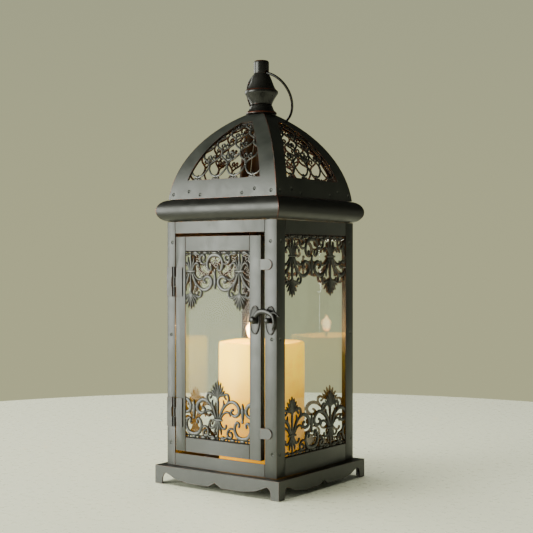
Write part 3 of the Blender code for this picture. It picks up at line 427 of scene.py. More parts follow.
def piece(name, points, faces, body, material, stands_for=(), smooth_angle=40):
    """A closed mesh made into a piece that rides on a body."""
    mesh = closed_mesh(name, points, faces)
    mesh.materials.append(material)
    obj = bpy.data.objects.new(name, mesh)
    bpy.context.scene.collection.objects.link(obj)
    smooth(obj, smooth_angle)
    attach(obj, body)
    if stands_for:
        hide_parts(*stands_for)
    return obj


def smooth(obj, degrees):
    """Smooth shading with edges above this angle kept sharp."""
    mesh = obj.data
    mesh.polygons.foreach_set("use_smooth", [True] * len(mesh.polygons))
    mesh.set_sharp_from_angle(angle=math.radians(degrees))


class Builder:
    """Collects tubes, beads and turned shapes into one mesh."""

    def __init__(self, place):
        self.place = place
        self.points = []
        self.faces = []

    def rings(self, rings, closed=False):
        """Skins a list of rings of points, with a cap at each end unless it is closed."""
        start, sides = len(self.points), len(rings[0])
        for ring in rings:
            self.points += [self.place(*p) for p in ring]
        count = len(rings)
        for i in range(count if closed else count - 1):
            a, b = start + i * sides, start + ((i + 1) % count) * sides
            self.faces += [(a + k, a + (k + 1) % sides, b + (k + 1) % sides, b + k) for k in range(sides)]
        if not closed:
            self.faces.append(tuple(range(start, start + sides))[::-1])
            self.faces.append(tuple(range(start + (count - 1) * sides, start + count * sides)))

    def tube(self, path, widths, depth, sides=8, lift=0.0):
        """A bar of oval section along a line in the plane, with rounded ends. depth is its full depth."""
        rings = []
        last = len(path) - 1
        for i, (u, v) in enumerate(path):
            ahead, behind = path[min(i + 1, last)], path[max(i - 1, 0)]
            along = Vector((ahead[0] - behind[0], ahead[1] - behind[1])).normalized()
            steps = [(0.0, 1.0)]
            if i == 0:
                steps = [(-0.94, 0.34), (-0.7, 0.72), (0.0, 1.0)]
            elif i == last:
                steps = [(0.0, 1.0), (0.7, 0.72), (0.94, 0.34)]
            half = widths[i] / 2
            thick = min(depth / 2, 0.62 * widths[i])
            for shift, scale in steps:
                cu, cv = u + along.x * half * shift, v + along.y * half * shift
                ring = []
                for k in range(sides):
                    t = 2 * math.pi * (k + 0.5) / sides
                    across = half * scale * math.cos(t)
                    up = thick * scale * math.sin(t) + lift
                    ring.append((cu - along.y * across, cv + along.x * across, up))
                rings.append(ring)
        self.rings(rings)

    def bead(self, u, v, radii, depth, sides=10, lift=0.0):
        """An oval bead, half its depth in front of the middle of the sheet."""
        rings = []
        for i in range(1, 6):
            t = math.pi * i / 6
            ring = []
            for k in range(sides):
                a = 2 * math.pi * k / sides
                ring.append((
                    u + radii[0] * math.sin(t) * math.cos(a),
                    v + radii[1] * math.sin(t) * math.sin(a),
                    lift + depth / 2 * math.cos(t),
                ))
            rings.append(ring)
        self.rings(rings)

    def turned(self, profile, sides=48):
        """Turns (radius, height) pairs round the third direction."""
        rings = []
        for radius, height in profile:
            turns = [2 * math.pi * k / sides for k in range(sides)]
            rings.append([(radius * math.cos(a), radius * math.sin(a), height) for a in turns])
        self.rings(rings)

    def hoop(self, radius, across, deep, steps, sides, centre=(0, 0), lift=0.0):
        """A round hoop of oval wire. across and deep are half the size of its section."""
        rings = []
        for i in range(steps):
            a = 2 * math.pi * i / steps
            ring = []
            for k in range(sides):
                t = 2 * math.pi * k / sides
                reach = radius + across * math.cos(t)
                ring.append((
                    centre[0] + reach * math.cos(a),
                    centre[1] + reach * math.sin(a),
                    lift + deep * math.sin(t),
                ))
            rings.append(ring)
        self.rings(rings, closed=True)


def curve(points, widths, step):
    """Evenly fine samples of a smooth line through the points, with its widths."""
    places, sizes = [], []
    count = len(points)
    for i in range(count - 1):
        p0, p1, p2, p3 = (np.array(points[min(max(j, 0), count - 1)], float) for j in range(i - 1, i + 3))
        pieces = max(2, math.ceil(np.linalg.norm(p2 - p1) / step))
        for k in range(pieces + (i == count - 2)):
            t = k / pieces
            square = 2 * p0 - 5 * p1 + 4 * p2 - p3
            cube = 3 * p1 - p0 - 3 * p2 + p3
            places.append(0.5 * (2 * p1 + (p2 - p0) * t + square * t**2 + cube * t**3))
            sizes.append(widths[i] + (widths[i + 1] - widths[i]) * t)
    return places, sizes


def stroke(builder, points, widths, depth, inside, step, sides=8, lift=0.0):
    """A tube along a smooth line, kept only where it is inside the sheet."""
    places, sizes = curve(points, widths, step)
    run, run_sizes = [], []
    for place, size in zip(places + [None], sizes + [0]):
        if place is not None and inside(place[0], place[1]):
            run.append(place)
            run_sizes.append(size)
            continue
        if len(run) > 2:
            builder.tube(run, run_sizes, depth, sides, lift)
        run, run_sizes = [], []


def turn_to(face):
    return Matrix.Rotation(QUARTERS[face] * math.pi / 2, 4, "Z")


def face_box(node, face):
    """A node's box, turned to where the front face is."""
    back = turn_to(face).inverted()
    corners = [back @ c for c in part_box(node)]
    low = Vector([min(c[i] for c in corners) for i in range(3)])
    high = Vector([max(c[i] for c in corners) for i in range(3)])
    return low, high


# ---------------------------------------------------------------- pierced strips

# One pendant, drawn downwards in millimetres from the foot of the bead bar: lines with their widths,
# then beads. All but the lines and beads on the axis are mirrored.
PENDANT_LINES = [
    ([(1.6, 16.2), (3.0, 12.6), (5.4, 10.2), (7.6, 10.8), (8.3, 12.6)], [1.3, 1.5, 1.6, 1.3, 1.5]),
    ([(0.9, 16.0), (1.7, 12.0), (3.0, 8.6), (3.2, 5.4)], [0.9, 1.3, 1.4, 0.5]),
    ([(2.9, 18.4), (5.2, 21.8), (8.4, 23.8), (11.6, 23.2), (12.3, 20.8)], [1.1, 1.2, 1.5, 1.3, 0.5]),
    (
        [(1.9, 19.0), (5.2, 26.0), (9.4, 30.6), (14.2, 32.4), (18.8, 30.6), (21.2, 26.6), (20.2, 22.8),
         (16.8, 21.2), (13.9, 22.6), (13.3, 25.0), (15.0, 26.0)],
        [1.0, 1.3, 1.8, 2.3, 2.6, 2.7, 2.4, 2.1, 1.7, 1.5, 1.8],
    ),
    (
        [(9.0, 30.6), (10.9, 33.8), (10.2, 37.4), (7.7, 38.2), (6.5, 36.0), (7.9, 34.4)],
        [1.2, 1.6, 1.8, 1.5, 1.2, 1.3],
    ),
    ([(7.2, 38.2), (5.4, 37.4), (3.6, 36.4)], [1.0, 1.2, 1.0]),
    ([(1.3, 18.6), (3.4, 24.6), (5.8, 29.4), (5.4, 32.8)], [1.0, 1.5, 1.6, 0.5]),
    ([(0.9, 35.2), (3.1, 37.4), (5.2, 39.4), (6.6, 40.6)], [0.9, 1.4, 1.5, 0.4]),
    ([(0.7, 35.6), (2.4, 39.2), (4.1, 42.2), (5.2, 44.0)], [0.9, 1.3, 1.5, 0.4]),
    ([(0.4, 36.0), (1.2, 40.4), (2.2, 44.2), (2.8, 46.8)], [0.8, 1.2, 1.5, 0.4]),
    (
        [(15.6, 10.6), (12.6, 10.9), (9.9, 8.4), (10.0, 4.9), (12.3, 3.4), (14.3, 5.0), (13.8, 7.4),
         (12.4, 7.8)],
        [0.9, 1.4, 1.7, 1.8, 1.7, 1.5, 1.3, 1.4],
    ),
    ([(9.8, 4.2), (7.4, 2.6), (5.2, 3.4), (3.2, 2.4)], [1.1, 1.4, 1.3, 1.0]),
]
PENDANT_BEADS = [(8.4, 13.0, 1.15), (4.1, 16.9, 1.0), (15.0, 25.8, 1.2), (7.7, 34.9, 1.0), (5.0, 37.0, 0.8)]
AXIS_LINES = [
    ([(0, 2.4), (0, 7.0), (0, 10.5), (0, 16.4)], [0.7, 1.5, 2.0, 1.0]),
    ([(-3.6, 16.9), (0, 16.9), (3.6, 16.9)], [1.5, 1.8, 1.5]),
    ([(0, 17.4), (0, 23.0), (0, 29.5), (0, 33.4)], [1.3, 1.2, 2.2, 1.2]),
    ([(0, 36.0), (0, 41.0), (0, 45.6), (0, 48.4)], [0.8, 1.1, 1.5, 0.4]),
]
AXIS_BEADS = [(0, 34.6, 1.5)]
# The part between two pendants, on its own axis: a scroll open towards the tips, with a drop under it.
BETWEEN_LINES = [
    (
        [(0, 3.5), (4.6, 4.7), (7.4, 8.8), (7.6, 13.2), (5.5, 16.4), (3.3, 15.3), (3.7, 13.3)],
        [2.5, 2.5, 2.3, 2.1, 1.9, 1.6, 1.8],
    ),
]
BETWEEN_BEADS = [(3.6, 13.6, 1.15)]
BETWEEN_AXIS_LINES = [([(0, 18.4), (0, 21.5), (0, 26.0), (0, 31.2)], [1.2, 2.3, 3.0, 0.7])]
BETWEEN_AXIS_BEADS = [(0, 17.2, 1.5)]
PENDANT_PERIOD = 49.2
PENDANT_LENGTH = 48.6
BEAD_PITCH = 9.84
BAR_OVERLAP = 2.6 * MM
BAR_GAIN = 1.15
WEB_EDGE = 0.42 * MM
WEB_DEPTH = 0.5 * MM
WEB_LIFT = -0.1 * MM
BAR_LIFT = 0.25 * MM
BAR_STEP = 0.75 * MM
WEB_STEP = 1.5 * MM
MOST_PENDANTS = 5


def pierced_strip(name, node, face, body, down, axis, period, depth):
    """A relief strip in the place of a CAD strip. axis is where one pendant hangs, across the face."""
    low, high = face_box(node, face)
    turn = turn_to(face)
    sheet = (low.y + high.y) / 2
    root = high.z - BAR_OVERLAP if down else low.z + BAR_OVERLAP
    reach = root - low.z if down else high.z - root
    sign = -1 if down else 1
    stretch, drop = period / PENDANT_PERIOD, (reach + 1.2 * MM) / PENDANT_LENGTH
    builder = Builder(lambda u, v, w: turn @ Vector((u, sheet - w, root + sign * v)))
    left, right = low.x + 0.7 * MM, high.x - 0.7 * MM

    def inside(u, v):
        return left < u < right

    def draw(lines, beads, middle, sides):
        for side in sides:
            for points, widths in lines:
                placed = [(middle + side * u * stretch, v * drop) for u, v in points]
                bold = [w * BAR_GAIN * MM for w in widths]
                stroke(builder, placed, bold, depth, inside, BAR_STEP, 8, BAR_LIFT)
                web = [w + 2 * WEB_EDGE for w in bold]
                stroke(builder, placed, web, WEB_DEPTH, inside, WEB_STEP, 6, WEB_LIFT)
            for u, v, radius in beads:
                at = middle + side * u * stretch
                if left + radius * MM < at < right - radius * MM:
                    builder.bead(at, v * drop, (radius * MM, radius * MM), depth * 1.08, 10, BAR_LIFT)

    first = math.floor((left - axis) / (period * MM)) - 1
    stretch *= MM
    for k in range(first, first + MOST_PENDANTS):
        middle = axis + k * period * MM
        draw(PENDANT_LINES, PENDANT_BEADS, middle, (-1, 1))
        draw(AXIS_LINES, AXIS_BEADS, middle, (1,))
        draw(BETWEEN_LINES, BETWEEN_BEADS, middle + period * MM / 2, (-1, 1))
        draw(BETWEEN_AXIS_LINES, BETWEEN_AXIS_BEADS, middle + period * MM / 2, (1,))
    pitch = BEAD_PITCH * MM
    for k in range(math.ceil((left - axis) / pitch), math.floor((right - axis) / pitch) + 1):
        at = axis + k * pitch
        for shift, length in ((0.0, 0.55 * MM), (pitch / 2, 2.9 * MM)):
            if left + length < at + shift < right - length:
                builder.bead(at + shift, 1.6 * MM, (length, 1.2 * MM), depth * 1.05, 10, BAR_LIFT)
    builder.tube([(left, -0.6 * MM), (right, -0.6 * MM)], [3.4 * MM] * 2, depth * 0.4)
    builder.tube([(left, 2.4 * MM), (right, 2.4 * MM)], [1.6 * MM] * 2, depth * 0.4)
    piece(name, builder.points, builder.faces, body, RELIEF, [node], 50)


# Pendants repeat at these periods. Those that hang off the middle fall this much short of half a period.
DOOR_PERIOD = 49.2
SIDE_PERIOD = 54.5
DOOR_SHORTFALL = 3
SIDE_SHORTFALL = 5
door_middle = (strip_low.x + strip_high.x) / 2
STRIP_DEPTH = 1.5 * MM
pierced_strip(
    "scroll_door_top", "door_filigree_top", "front", "door", True,
    door_middle + (DOOR_PERIOD / 2 - DOOR_SHORTFALL) * MM, DOOR_PERIOD, STRIP_DEPTH,
)
pierced_strip(
    "scroll_door_bottom", "door_filigree_bottom", "front", "door", False,
    door_middle, DOOR_PERIOD, STRIP_DEPTH,
)
for face in ("right", "back", "left"):
    for end in ("top", "bottom"):
        pierced_strip(
            f"scroll_{face}_{end}", f"filigree_{face}_{end}", face, "root", end == "top",
            (SIDE_PERIOD / 2 - SIDE_SHORTFALL) * MM, SIDE_PERIOD, STRIP_DEPTH,
        )


# ---------------------------------------------------------------- dome lattice


CROWN_REACH = 8.8 * MM
GORE_SAGITTA = 9.9 * MM


def dome_arc():
    """(centre across, centre up, radius) of the curve that each gore follows."""
    low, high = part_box("dome_gore_front")
    foot = Vector((-low.y, low.z))
    crown = Vector((CROWN_REACH, high.z))
    chord = crown - foot
    radius = chord.length**2 / (8 * GORE_SAGITTA) + GORE_SAGITTA / 2
    normal = Vector((-chord.y, chord.x)).normalized()
    if normal.x > 0:
        normal = -normal
    centre = (foot + crown) / 2 + normal * (radius - GORE_SAGITTA)
    return centre.x, centre.y, radius


ARC_ACROSS, ARC_UP, ARC_RADIUS = dome_arc()
HIP_BAND = 15 * MM
LATTICE_PITCH = 18.4 * MM


def lattice(face):
    """A curved net of ogee bars with small balls at the crossings, hung inside a gore's window."""
    node = "dome_grille_" + face
    low, high = face_box(node, face)
    turn = turn_to(face)
    start = math.asin((low.z - ARC_UP) / ARC_RADIUS)
    inset = 1.95 * MM

    def place(u, v, w):
        angle = start + v / ARC_RADIUS
        out = ARC_RADIUS - inset + w
        deep = ARC_ACROSS + out * math.cos(angle)
        return turn @ Vector((u, -deep, ARC_UP + out * math.sin(angle)))

    top = ARC_RADIUS * (math.asin(min(1, (high.z - ARC_UP) / ARC_RADIUS)) - start)

    def half_width(v):
        angle = start + v / ARC_RADIUS
        return ARC_ACROSS + ARC_RADIUS * math.cos(angle) - HIP_BAND + 1.4 * MM

    def inside(u, v):
        return 0 <= v <= top and abs(u) < half_width(v)

    builder = Builder(place)
    depth = 1.25 * MM
    pitch = LATTICE_PITCH
    sill = 2.6 * MM
    rows = [sill + h * MM for h in (12.6, 24.4, 36.0, 47.0, 58.0)]
    bar = 1.5 * MM

    def line(points, widths, step=0.9 * MM):
        stroke(builder, points, [1.25 * w * MM for w in widths], depth, inside, step)

    def ball(u, v, radius=1.3 * MM):
        if inside(u, v) and abs(u) < half_width(v) - radius:
            builder.bead(u, v, (radius, radius), 2.0 * MM)

    for k in range(-3, 3):
        foot = (k + 0.5) * pitch
        for side in (-1, 1):
            line(
                [(foot, sill + 3.4 * MM), (foot + side * 4.4 * MM, sill + 4.9 * MM),
                 (foot + side * 7.6 * MM, sill + 8.6 * MM), (foot + side * pitch / 2, rows[0])],
                [1.7, 1.5, 1.4, 1.3],
            )
            line(
                [(foot + side * 1.0 * MM, sill + 1.2 * MM), (foot + side * 2.7 * MM, sill + 2.0 * MM),
                 (foot + side * 3.4 * MM, sill + 0.9 * MM)],
                [1.1, 1.2, 1.2],
                0.5 * MM,
            )
        line([(foot, sill - 1.2 * MM), (foot, sill + 4.6 * MM)], [1.9, 1.5])
        ball(foot, sill + 1.2 * MM, 1.1 * MM)
    for level, (low_row, high_row) in enumerate(zip(rows, rows[1:])):
        shift = 0.5 if level % 2 else 0.0
        rise = high_row - low_row
        for k in range(-4, 5):
            u = (k + shift) * pitch
            ball(u, low_row)
            for side in (-1, 1):
                line(
                    [(u, low_row), (u + side * 1.4 * MM, low_row + 0.30 * rise),
                     (u + side * (pitch / 2 - 2.0 * MM), high_row - 0.34 * rise),
                     (u + side * pitch / 2, high_row)],
                    [1.4, 1.5, 1.5, 1.4],
                )
                curl = [(2.4, 0.46), (0.7, 0.62), (1.8, 0.86), (3.6, 0.80), (3.3, 0.64)]
                line(
                    [(u + side * out * MM, low_row + up * rise) for out, up in curl],
                    [1.1, 1.3, 1.3, 1.2, 1.3],
                    0.6 * MM,
                )
                ball(u + side * 3.2 * MM, low_row + 0.66 * rise, 0.85 * MM)
    ring_at = rows[1] - 3.0 * MM
    ring_radius = 3.7 * MM
    builder.hoop(ring_radius, 0.85 * MM, 0.72 * MM, 20, 8, (0, ring_at), 0.2 * MM)
    for side in (-1, 1):
        line([(side * 3.8 * MM, ring_at), (side * (pitch / 2), rows[1] - 1 * MM)], [1.3, 1.3])
        for up in (-1, 1):
            ball(side * ring_radius, ring_at + up * 3.9 * MM, 0.9 * MM)

    for u_side in (-1, 1):
        run = [(u_side * (half_width(v) - 0.4 * MM), v) for v in np.linspace(0.6 * MM, top - 0.6 * MM, 26)]
        builder.tube(run, [bar] * len(run), depth * 0.8)
    for v, width in ((1.4 * MM, 2.4 * MM), (top - 1.2 * MM, 2.0 * MM)):
        reach = half_width(v) - 0.6 * MM
        run = [(u, v) for u in np.linspace(-reach, reach, 14)]
        builder.tube(run, [width] * len(run), depth * 0.9)
    piece("lattice_" + face, builder.points, builder.faces, "root", LATTICE, [node], 50)


for face in QUARTERS:
    lattice(face)


# ---------------------------------------------------------------- finial and ring


def cut(obj, cutter_points, cutter_faces):
    """Takes a closed shape out of a piece, for good."""
    cutter = bpy.data.objects.new("cutter", closed_mesh("cutter", cutter_points, cutter_faces))
    bpy.context.scene.collection.objects.link(cutter)
    modifier = obj.modifiers.new("cut", "BOOLEAN")
    modifier.operation = "DIFFERENCE"
    modifier.solver = "EXACT"
    modifier.object = cutter
    bpy.context.view_layer.update()
    evaluated = obj.evaluated_get(bpy.context.evaluated_depsgraph_get())
    result = bpy.data.meshes.new_from_object(evaluated)
    obj.modifiers.clear()
    obj.data = result
    bpy.data.objects.remove(cutter)


def fine_profile(points, step=0.6 * MM):
    """A smooth profile through these (radius, height) points, in millimetres."""
    places, _ = curve([(r * MM, z * MM) for r, z in points], [1] * len(points), step)
    return [(float(p[0]), float(p[1])) for p in places]


RING_RADIUS = 23 * MM
WIRE_RADIUS = 1.1 * MM
HOLE_RADIUS = 2 * MM
HOLE_REACH = 9 * MM
ring_low, ring_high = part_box("ring_handle")
ring_middle = (ring_low + ring_high) / 2
ring_joint = next(joint for joint in frame["joints"] if joint["name"] == "ring_swing")
ring_turn = Vector(ring_joint["axis"]).normalized()
ring_pivot = Vector(ring_joint["pos_m"])
ring_across = (ring_middle - ring_pivot).normalized()
ring_normal = ring_turn.cross(ring_across).normalized()

finial_foot = collar_high.z + 0.3 * MM
finial_builder = Builder(lambda x, y, z: Vector((x, y, finial_foot + z)))
finial_profile = [(0.01 * MM, finial_low.z - finial_foot), (2 * MM, finial_low.z - finial_foot), (2 * MM, 0)]
finial_profile += [(8.3 * MM, 0), (8.9 * MM, 0.3 * MM)]
finial_profile += fine_profile([(9.0, 0.9), (9.9, 3.0), (11.3, 5.6), (12.9, 8.0), (13.75, 9.3), (13.9, 10.2)])
finial_profile += fine_profile([(13.85, 10.8), (13.5, 11.5), (12.9, 12.0)])
finial_profile += fine_profile(
    [(12.3, 12.5), (11.2, 14.2), (9.8, 17.4), (8.6, 20.6), (7.6, 23.0), (6.7, 24.9), (6.1, 26.0)]
)
finial_profile += fine_profile(
    [(6.25, 26.5), (6.3, 28.5), (6.3, 34.6), (6.0, 35.9), (5.0, 36.6), (2.5, 36.75)], 0.8 * MM
)
finial_profile.append((0.01 * MM, finial_high.z - finial_foot))
finial_builder.turned(finial_profile, sides=64)
finial_piece = piece(
    "finial_turned", finial_builder.points, finial_builder.faces, "root", GLOSS_PAINT,
    ["finial"],
)
hole_up = Vector((0, 0, 1))
hole_side = ring_turn.cross(hole_up)
hole = Builder(lambda y, z, x: ring_pivot + ring_turn * x + hole_side * y + hole_up * z)
hole.turned([(HOLE_RADIUS, -HOLE_REACH), (HOLE_RADIUS, HOLE_REACH)], sides=24)
cut(finial_piece, hole.points, hole.faces)
smooth(finial_piece, 35)

collar_builder = Builder(lambda x, y, z: Vector((x, y, collar_low.z + z)))
collar_profile = [(2.3 * MM, 0), (12.5 * MM, 0), (12.8 * MM, 0.3 * MM)]
collar_profile += fine_profile([(12.8, 1.0), (12.2, 1.8), (11.0, 2.8), (10.1, 4.3), (9.5, 6.0), (9.0, 7.2)])
collar_profile += [(8.7 * MM, 7.6 * MM), (2.3 * MM, 7.6 * MM)]
collar_builder.turned(collar_profile, sides=64)
piece(
    "collar_turned", collar_builder.points, collar_builder.faces, "root", GLOSS_PAINT,
    ["finial_collar"],
)

ring_builder = Builder(lambda b, a, c: ring_middle + ring_turn * a + ring_across * b + ring_normal * c)
ring_builder.hoop(RING_RADIUS, WIRE_RADIUS, WIRE_RADIUS, 96, 14)
piece(
    "ring_wire", ring_builder.points, ring_builder.faces, "ring", WIRE_PAINT,
    ["ring_handle"], 60,
)


# ---------------------------------------------------------------- latch


def latch_plate(name, node, body, spot_height, spot_radius, domed):
    """An oval plate with a raised rim and, at its middle, a rivet's ball or a round peg."""
    low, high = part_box(node)
    middle = ((low.x + high.x) / 2, (low.z + high.z) / 2)
    half = ((high.x - low.x) / 2, (high.z - low.z) / 2)
    back = high.y
    builder = Builder(lambda u, v, w: Vector((middle[0] + u, back - w, middle[1] + v)))
    rows = (
        (1.0, 0.0), (1.0, 0.55), (0.97, 0.74), (0.92, 0.80), (0.86, 0.76), (0.80, 0.52), (0.72, 0.44),
        (0.02, 0.44),
    )
    rings = []
    for scale, height in rows:
        trim = (1 - scale) * half[0]
        rings.append([
            (
                (half[0] - trim) * math.cos(2 * math.pi * k / 56),
                (half[1] - trim if scale > 0.1 else 0.1 * MM) * math.sin(2 * math.pi * k / 56),
                height * MM,
            )
            for k in range(56)
        ])
    builder.rings(rings)
    neck = spot_radius * 0.45 if domed else spot_radius
    neck_top = spot_height - (1.3 if domed else 0.9) * MM
    swell = (1.1 if domed else 0.9) * MM
    spot = [(neck, 0.2 * MM), (neck, neck_top)]
    if domed:
        spot.append((spot_radius * 0.9, spot_height - 1.25 * MM))
    for t in np.radians([0, 20, 40, 60, 75, 88]):
        spot.append((spot_radius * math.cos(t), spot_height - swell * (1 - math.sin(t))))
    builder.turned(spot, sides=32)
    piece(name, builder.points, builder.faces, body, GLOSS_PAINT, [node], 35)


plate_low, plate_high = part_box("latch_plate_door")
latch_plate(
    "latch_oval_door", "latch_plate_door", "door", plate_high.y - plate_low.y, 2.5 * MM, True
)
post_plate_low, post_plate_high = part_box("latch_plate_post")
latch_plate(
    "latch_oval_post", "latch_plate_post", "root", post_plate_high.y - post_plate_low.y, 2.2 * MM, False
)


def hook():
    """A bar that arches over the peg and ends in a tapering claw, with a small thumb tab."""
    low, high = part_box("latch_hook")
    pivot_x = (plate_low.x + plate_high.x) / 2
    level = (plate_low.z + plate_high.z) / 2
    span = (post_plate_low.x + post_plate_high.x) / 2 - pivot_x
    over = 4.3 * MM
    sheet = (low.y + high.y) / 2
    builder = Builder(lambda u, v, w: Vector((pivot_x + u, sheet - w, level + v)))
    past = span + over + 0.2 * MM
    spine = [
        (0.10 * span, 0.74 * over), (0.32 * span, 1.42 * over), (0.66 * span, 1.6 * over),
        (span, 1.32 * over),
        (span + 0.78 * over, 0.80 * over), (past + 0.3 * MM, -0.2 * over), (past, -0.95 * over),
        (past - 1.1 * MM, -1.6 * over),
    ]
    widths = [w * 4.1 * MM for w in (1.05, 0.98, 0.98, 1.0, 0.92, 0.74, 0.5, 0.26)]
    places, sizes = curve(spine, widths, 0.5 * MM)
    builder.tube(places, sizes, 2.1 * MM, 16)
    builder.hoop(2.3 * MM, 0.85 * MM, 1.0 * MM, 28, 10)
    shoulder = (span + 0.5 * over, 1.3 * over)
    thumb = [
        shoulder, (shoulder[0] + 2.6 * MM, shoulder[1] + 0.5 * MM),
        (shoulder[0] + 5.2 * MM, shoulder[1] - 0.5 * MM), (shoulder[0] + 6.8 * MM, shoulder[1] - 2.0 * MM),
    ]
    places, sizes = curve(thumb, [1.9 * MM, 1.5 * MM, 1.3 * MM, 1.4 * MM], 0.5 * MM)
    builder.tube(places, sizes, 1.6 * MM, 12)
    builder.bead(shoulder[0] + 6.9 * MM, shoulder[1] - 2.1 * MM, (1.2 * MM, 1.2 * MM), 2.0 * MM, 14)
    piece(
        "latch_hook_bar", builder.points, builder.faces, "latch_hook", GLOSS_PAINT,
        ["latch_hook"], 50,
    )


hook()


# ---------------------------------------------------------------- candle


candle_low, candle_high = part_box("candle_pillar")
wick_low, wick_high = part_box("candle_wick")
wick_middle = (wick_low + wick_high) / 2
WAX = ivory_wax(candle_low.z, candle_high.z, wick_middle.x, wick_middle.y)


def candle():
    """A pillar with a soft rim, melted a little unevenly round its pool."""
    radius = (candle_high.x - candle_low.x) / 2 / MM
    height = (candle_high.z - candle_low.z) / MM
    outer = [(radius - 2.2, 0), (radius - 0.9, 0.25), (radius - 0.2, 1.0), (radius, 2.2)]
    wall = [(radius, z) for z in np.linspace(6, height - 6, 18)]
    rim = [
        (radius, height - 3.6), (radius - 0.25, height - 1.6), (radius - 1.0, height - 0.35),
        (radius - 2.0, height),
    ]
    pool = [
        (radius - 3.2, height - 0.5), (radius - 4.8, height - 1.9), (radius - 7.0, height - 2.8),
        (radius - 12, height - 3.0), (12, height - 3.05), (4, height - 3.05), (0.01, height - 3.05),
    ]
    rows = [(0.01, 0)] + outer + wall + rim + pool
    sides = 96
    rings = []
    for r, z in rows:
        ring = []
        for k in range(sides):
            a = 2 * math.pi * k / sides
            sway = 0.10 * math.sin(2 * a + 0.09 * z) + 0.07 * math.sin(5 * a - 0.05 * z)
            melt = 0.35 * math.sin(3 * a + 0.6) + 0.2 * math.sin(7 * a)
            near_rim = max(0.0, 1 - abs(r - (radius - 3)) / 5) * (1 if z > height - 4 else 0)
            reach = min(r, radius - 0.18) + (sway if r > 6 else 0)
            level = (z - 0.55 * near_rim + melt * near_rim) * MM
            ring.append((reach * MM * math.cos(a), reach * MM * math.sin(a), level))
        rings.append(ring)
    builder = Builder(lambda x, y, z: Vector((x, y, candle_low.z + min(z, height * MM))))
    builder.rings(rings)
    pillar = piece(
        "candle_wax_pillar", builder.points, builder.faces, "candle", WAX, ["candle_pillar"], 60
    )
    well = Builder(lambda x, y, z: Vector((wick_middle.x + x, wick_middle.y + y, wick_low.z + z)))
    well.turned([(1.25 * MM, -0.3 * MM), (1.25 * MM, 8 * MM)], sides=24)
    cut(pillar, well.points, well.faces)
    smooth(pillar, 60)


candle()

FLAME_HEIGHT = 15.5
FLAME_OVERLAP = 2.2 * MM
GLOW_HEIGHT = 8 * MM
flame_foot = wick_high.z - FLAME_OVERLAP
FLAME = burning_flame(flame_foot, flame_foot + FLAME_HEIGHT * MM)
flame_builder = Builder(lambda x, y, z: Vector((wick_middle.x + x, wick_middle.y + y, flame_foot + z)))
flame_profile = fine_profile(
    [(0.05, 0), (1.5, 0.5), (2.7, 2.2), (3.2, 4.4), (3.0, 6.8), (2.3, 9.6), (1.3, 12.6), (0.5, 14.8),
     (0.05, FLAME_HEIGHT)],
    0.5 * MM,
)
flame_builder.turned(flame_profile, sides=24)
flame_piece = piece(
    "candle_flame", flame_builder.points, flame_builder.faces, "candle", FLAME, (), 180
)
flame_piece.visible_shadow = False


# ---------------------------------------------------------------- CAD nodes that stay


ROUND_ANGLE = math.radians(35)
SPLIT_ANGLE = math.radians(32)
SHEET_ROUND = 0.18 * MM
STEEL_ROUND = 0.15 * MM


def dress(name, material, bevel=0.0):
    """Gives a CAD node its material and, if asked, a small round on its edges."""
    obj = frame["nodes"][name]
    obj.data.materials.clear()
    obj.data.materials.append(material)
    custom = obj.data.attributes.get("custom_normal")
    if custom is not None:
        obj.data.attributes.remove(custom)
    weld = obj.modifiers.new("weld", "WELD")
    weld.merge_threshold = 0.01 * MM
    if bevel:
        rounding = obj.modifiers.new("round", "BEVEL")
        rounding.width = bevel
        rounding.segments = 2
        rounding.limit_method = "ANGLE"
        rounding.angle_limit = ROUND_ANGLE
        rounding.use_clamp_overlap = True
    obj.data.polygons.foreach_set("use_smooth", [True] * len(obj.data.polygons))
    split = obj.modifiers.new("edges", "EDGE_SPLIT")
    split.split_angle = SPLIT_ANGLE


for name in frame["nodes"]:
    if name.startswith("glass"):
        dress(name, GLASS)
    elif name == "door_glass":
        dress(name, DOOR_GLASS)
    elif name.startswith("hinge") and name.endswith("_leaf"):
        dress(name, HINGE_PAINT_AND_SHADE)
    elif name in ("finial_nut", "dome_crown_plate") or name.endswith("_pin"):
        dress(name, STEEL, STEEL_ROUND)
    elif name == "candle_wick":
        dress(name, WICK)
    elif name.startswith("dome_gore"):
        dress(name, ROOF_PAINT)
    elif name.startswith("cornice"):
        dress(name, CORNICE_SHADED_PAINT)
    else:
        rounded = name.startswith(("post", "rail", "door_rail", "door_stile"))
        dress(name, PAINT, SHEET_ROUND if rounded else 0.0)


# ---------------------------------------------------------------- floor, light and camera


FLOOR_RADIUS = 0.62
FLOOR_LEVEL = -0.0002
floor_mesh = bpy.data.meshes.new("floor")
floor_work = bmesh.new()
bmesh.ops.create_circle(floor_work, cap_ends=True, segments=128, radius=FLOOR_RADIUS)
floor_work.to_mesh(floor_mesh)
floor_work.free()
floor_mesh.materials.append(pale_floor())
floor = bpy.data.objects.new("floor", floor_mesh)
floor.location = (0, 0, FLOOR_LEVEL)
bpy.context.scene.collection.objects.link(floor)


def lamp(name, place, target, size, power, colour):
    """A square area lamp that faces its target."""
    data = bpy.data.lights.new(name, "AREA")
    data.shape = "RECTANGLE"
    data.size = size
    data.size_y = size
    data.energy = power
    data.color = colour
    obj = bpy.data.objects.new(name, data)
    obj.location = place
    obj.rotation_euler = (Vector(target) - Vector(place)).to_track_quat("-Z", "Y").to_euler()
    bpy.context.scene.collection.objects.link(obj)
    return obj


lamp("side_light", (-1.5, 0.2, 0.5), (0, 0, 0.17), 0.9, 12, (0.98, 1.0, 0.90))
floor_light = lamp("floor_light", (-0.3, -0.2, 1.7), (0, 0, 0), 1.2, 46, (0.99, 1.0, 0.86))
floor_only = bpy.data.collections.new("floor_only")
floor_only.objects.link(floor)
floor_light.light_linking.receiver_collection = floor_only

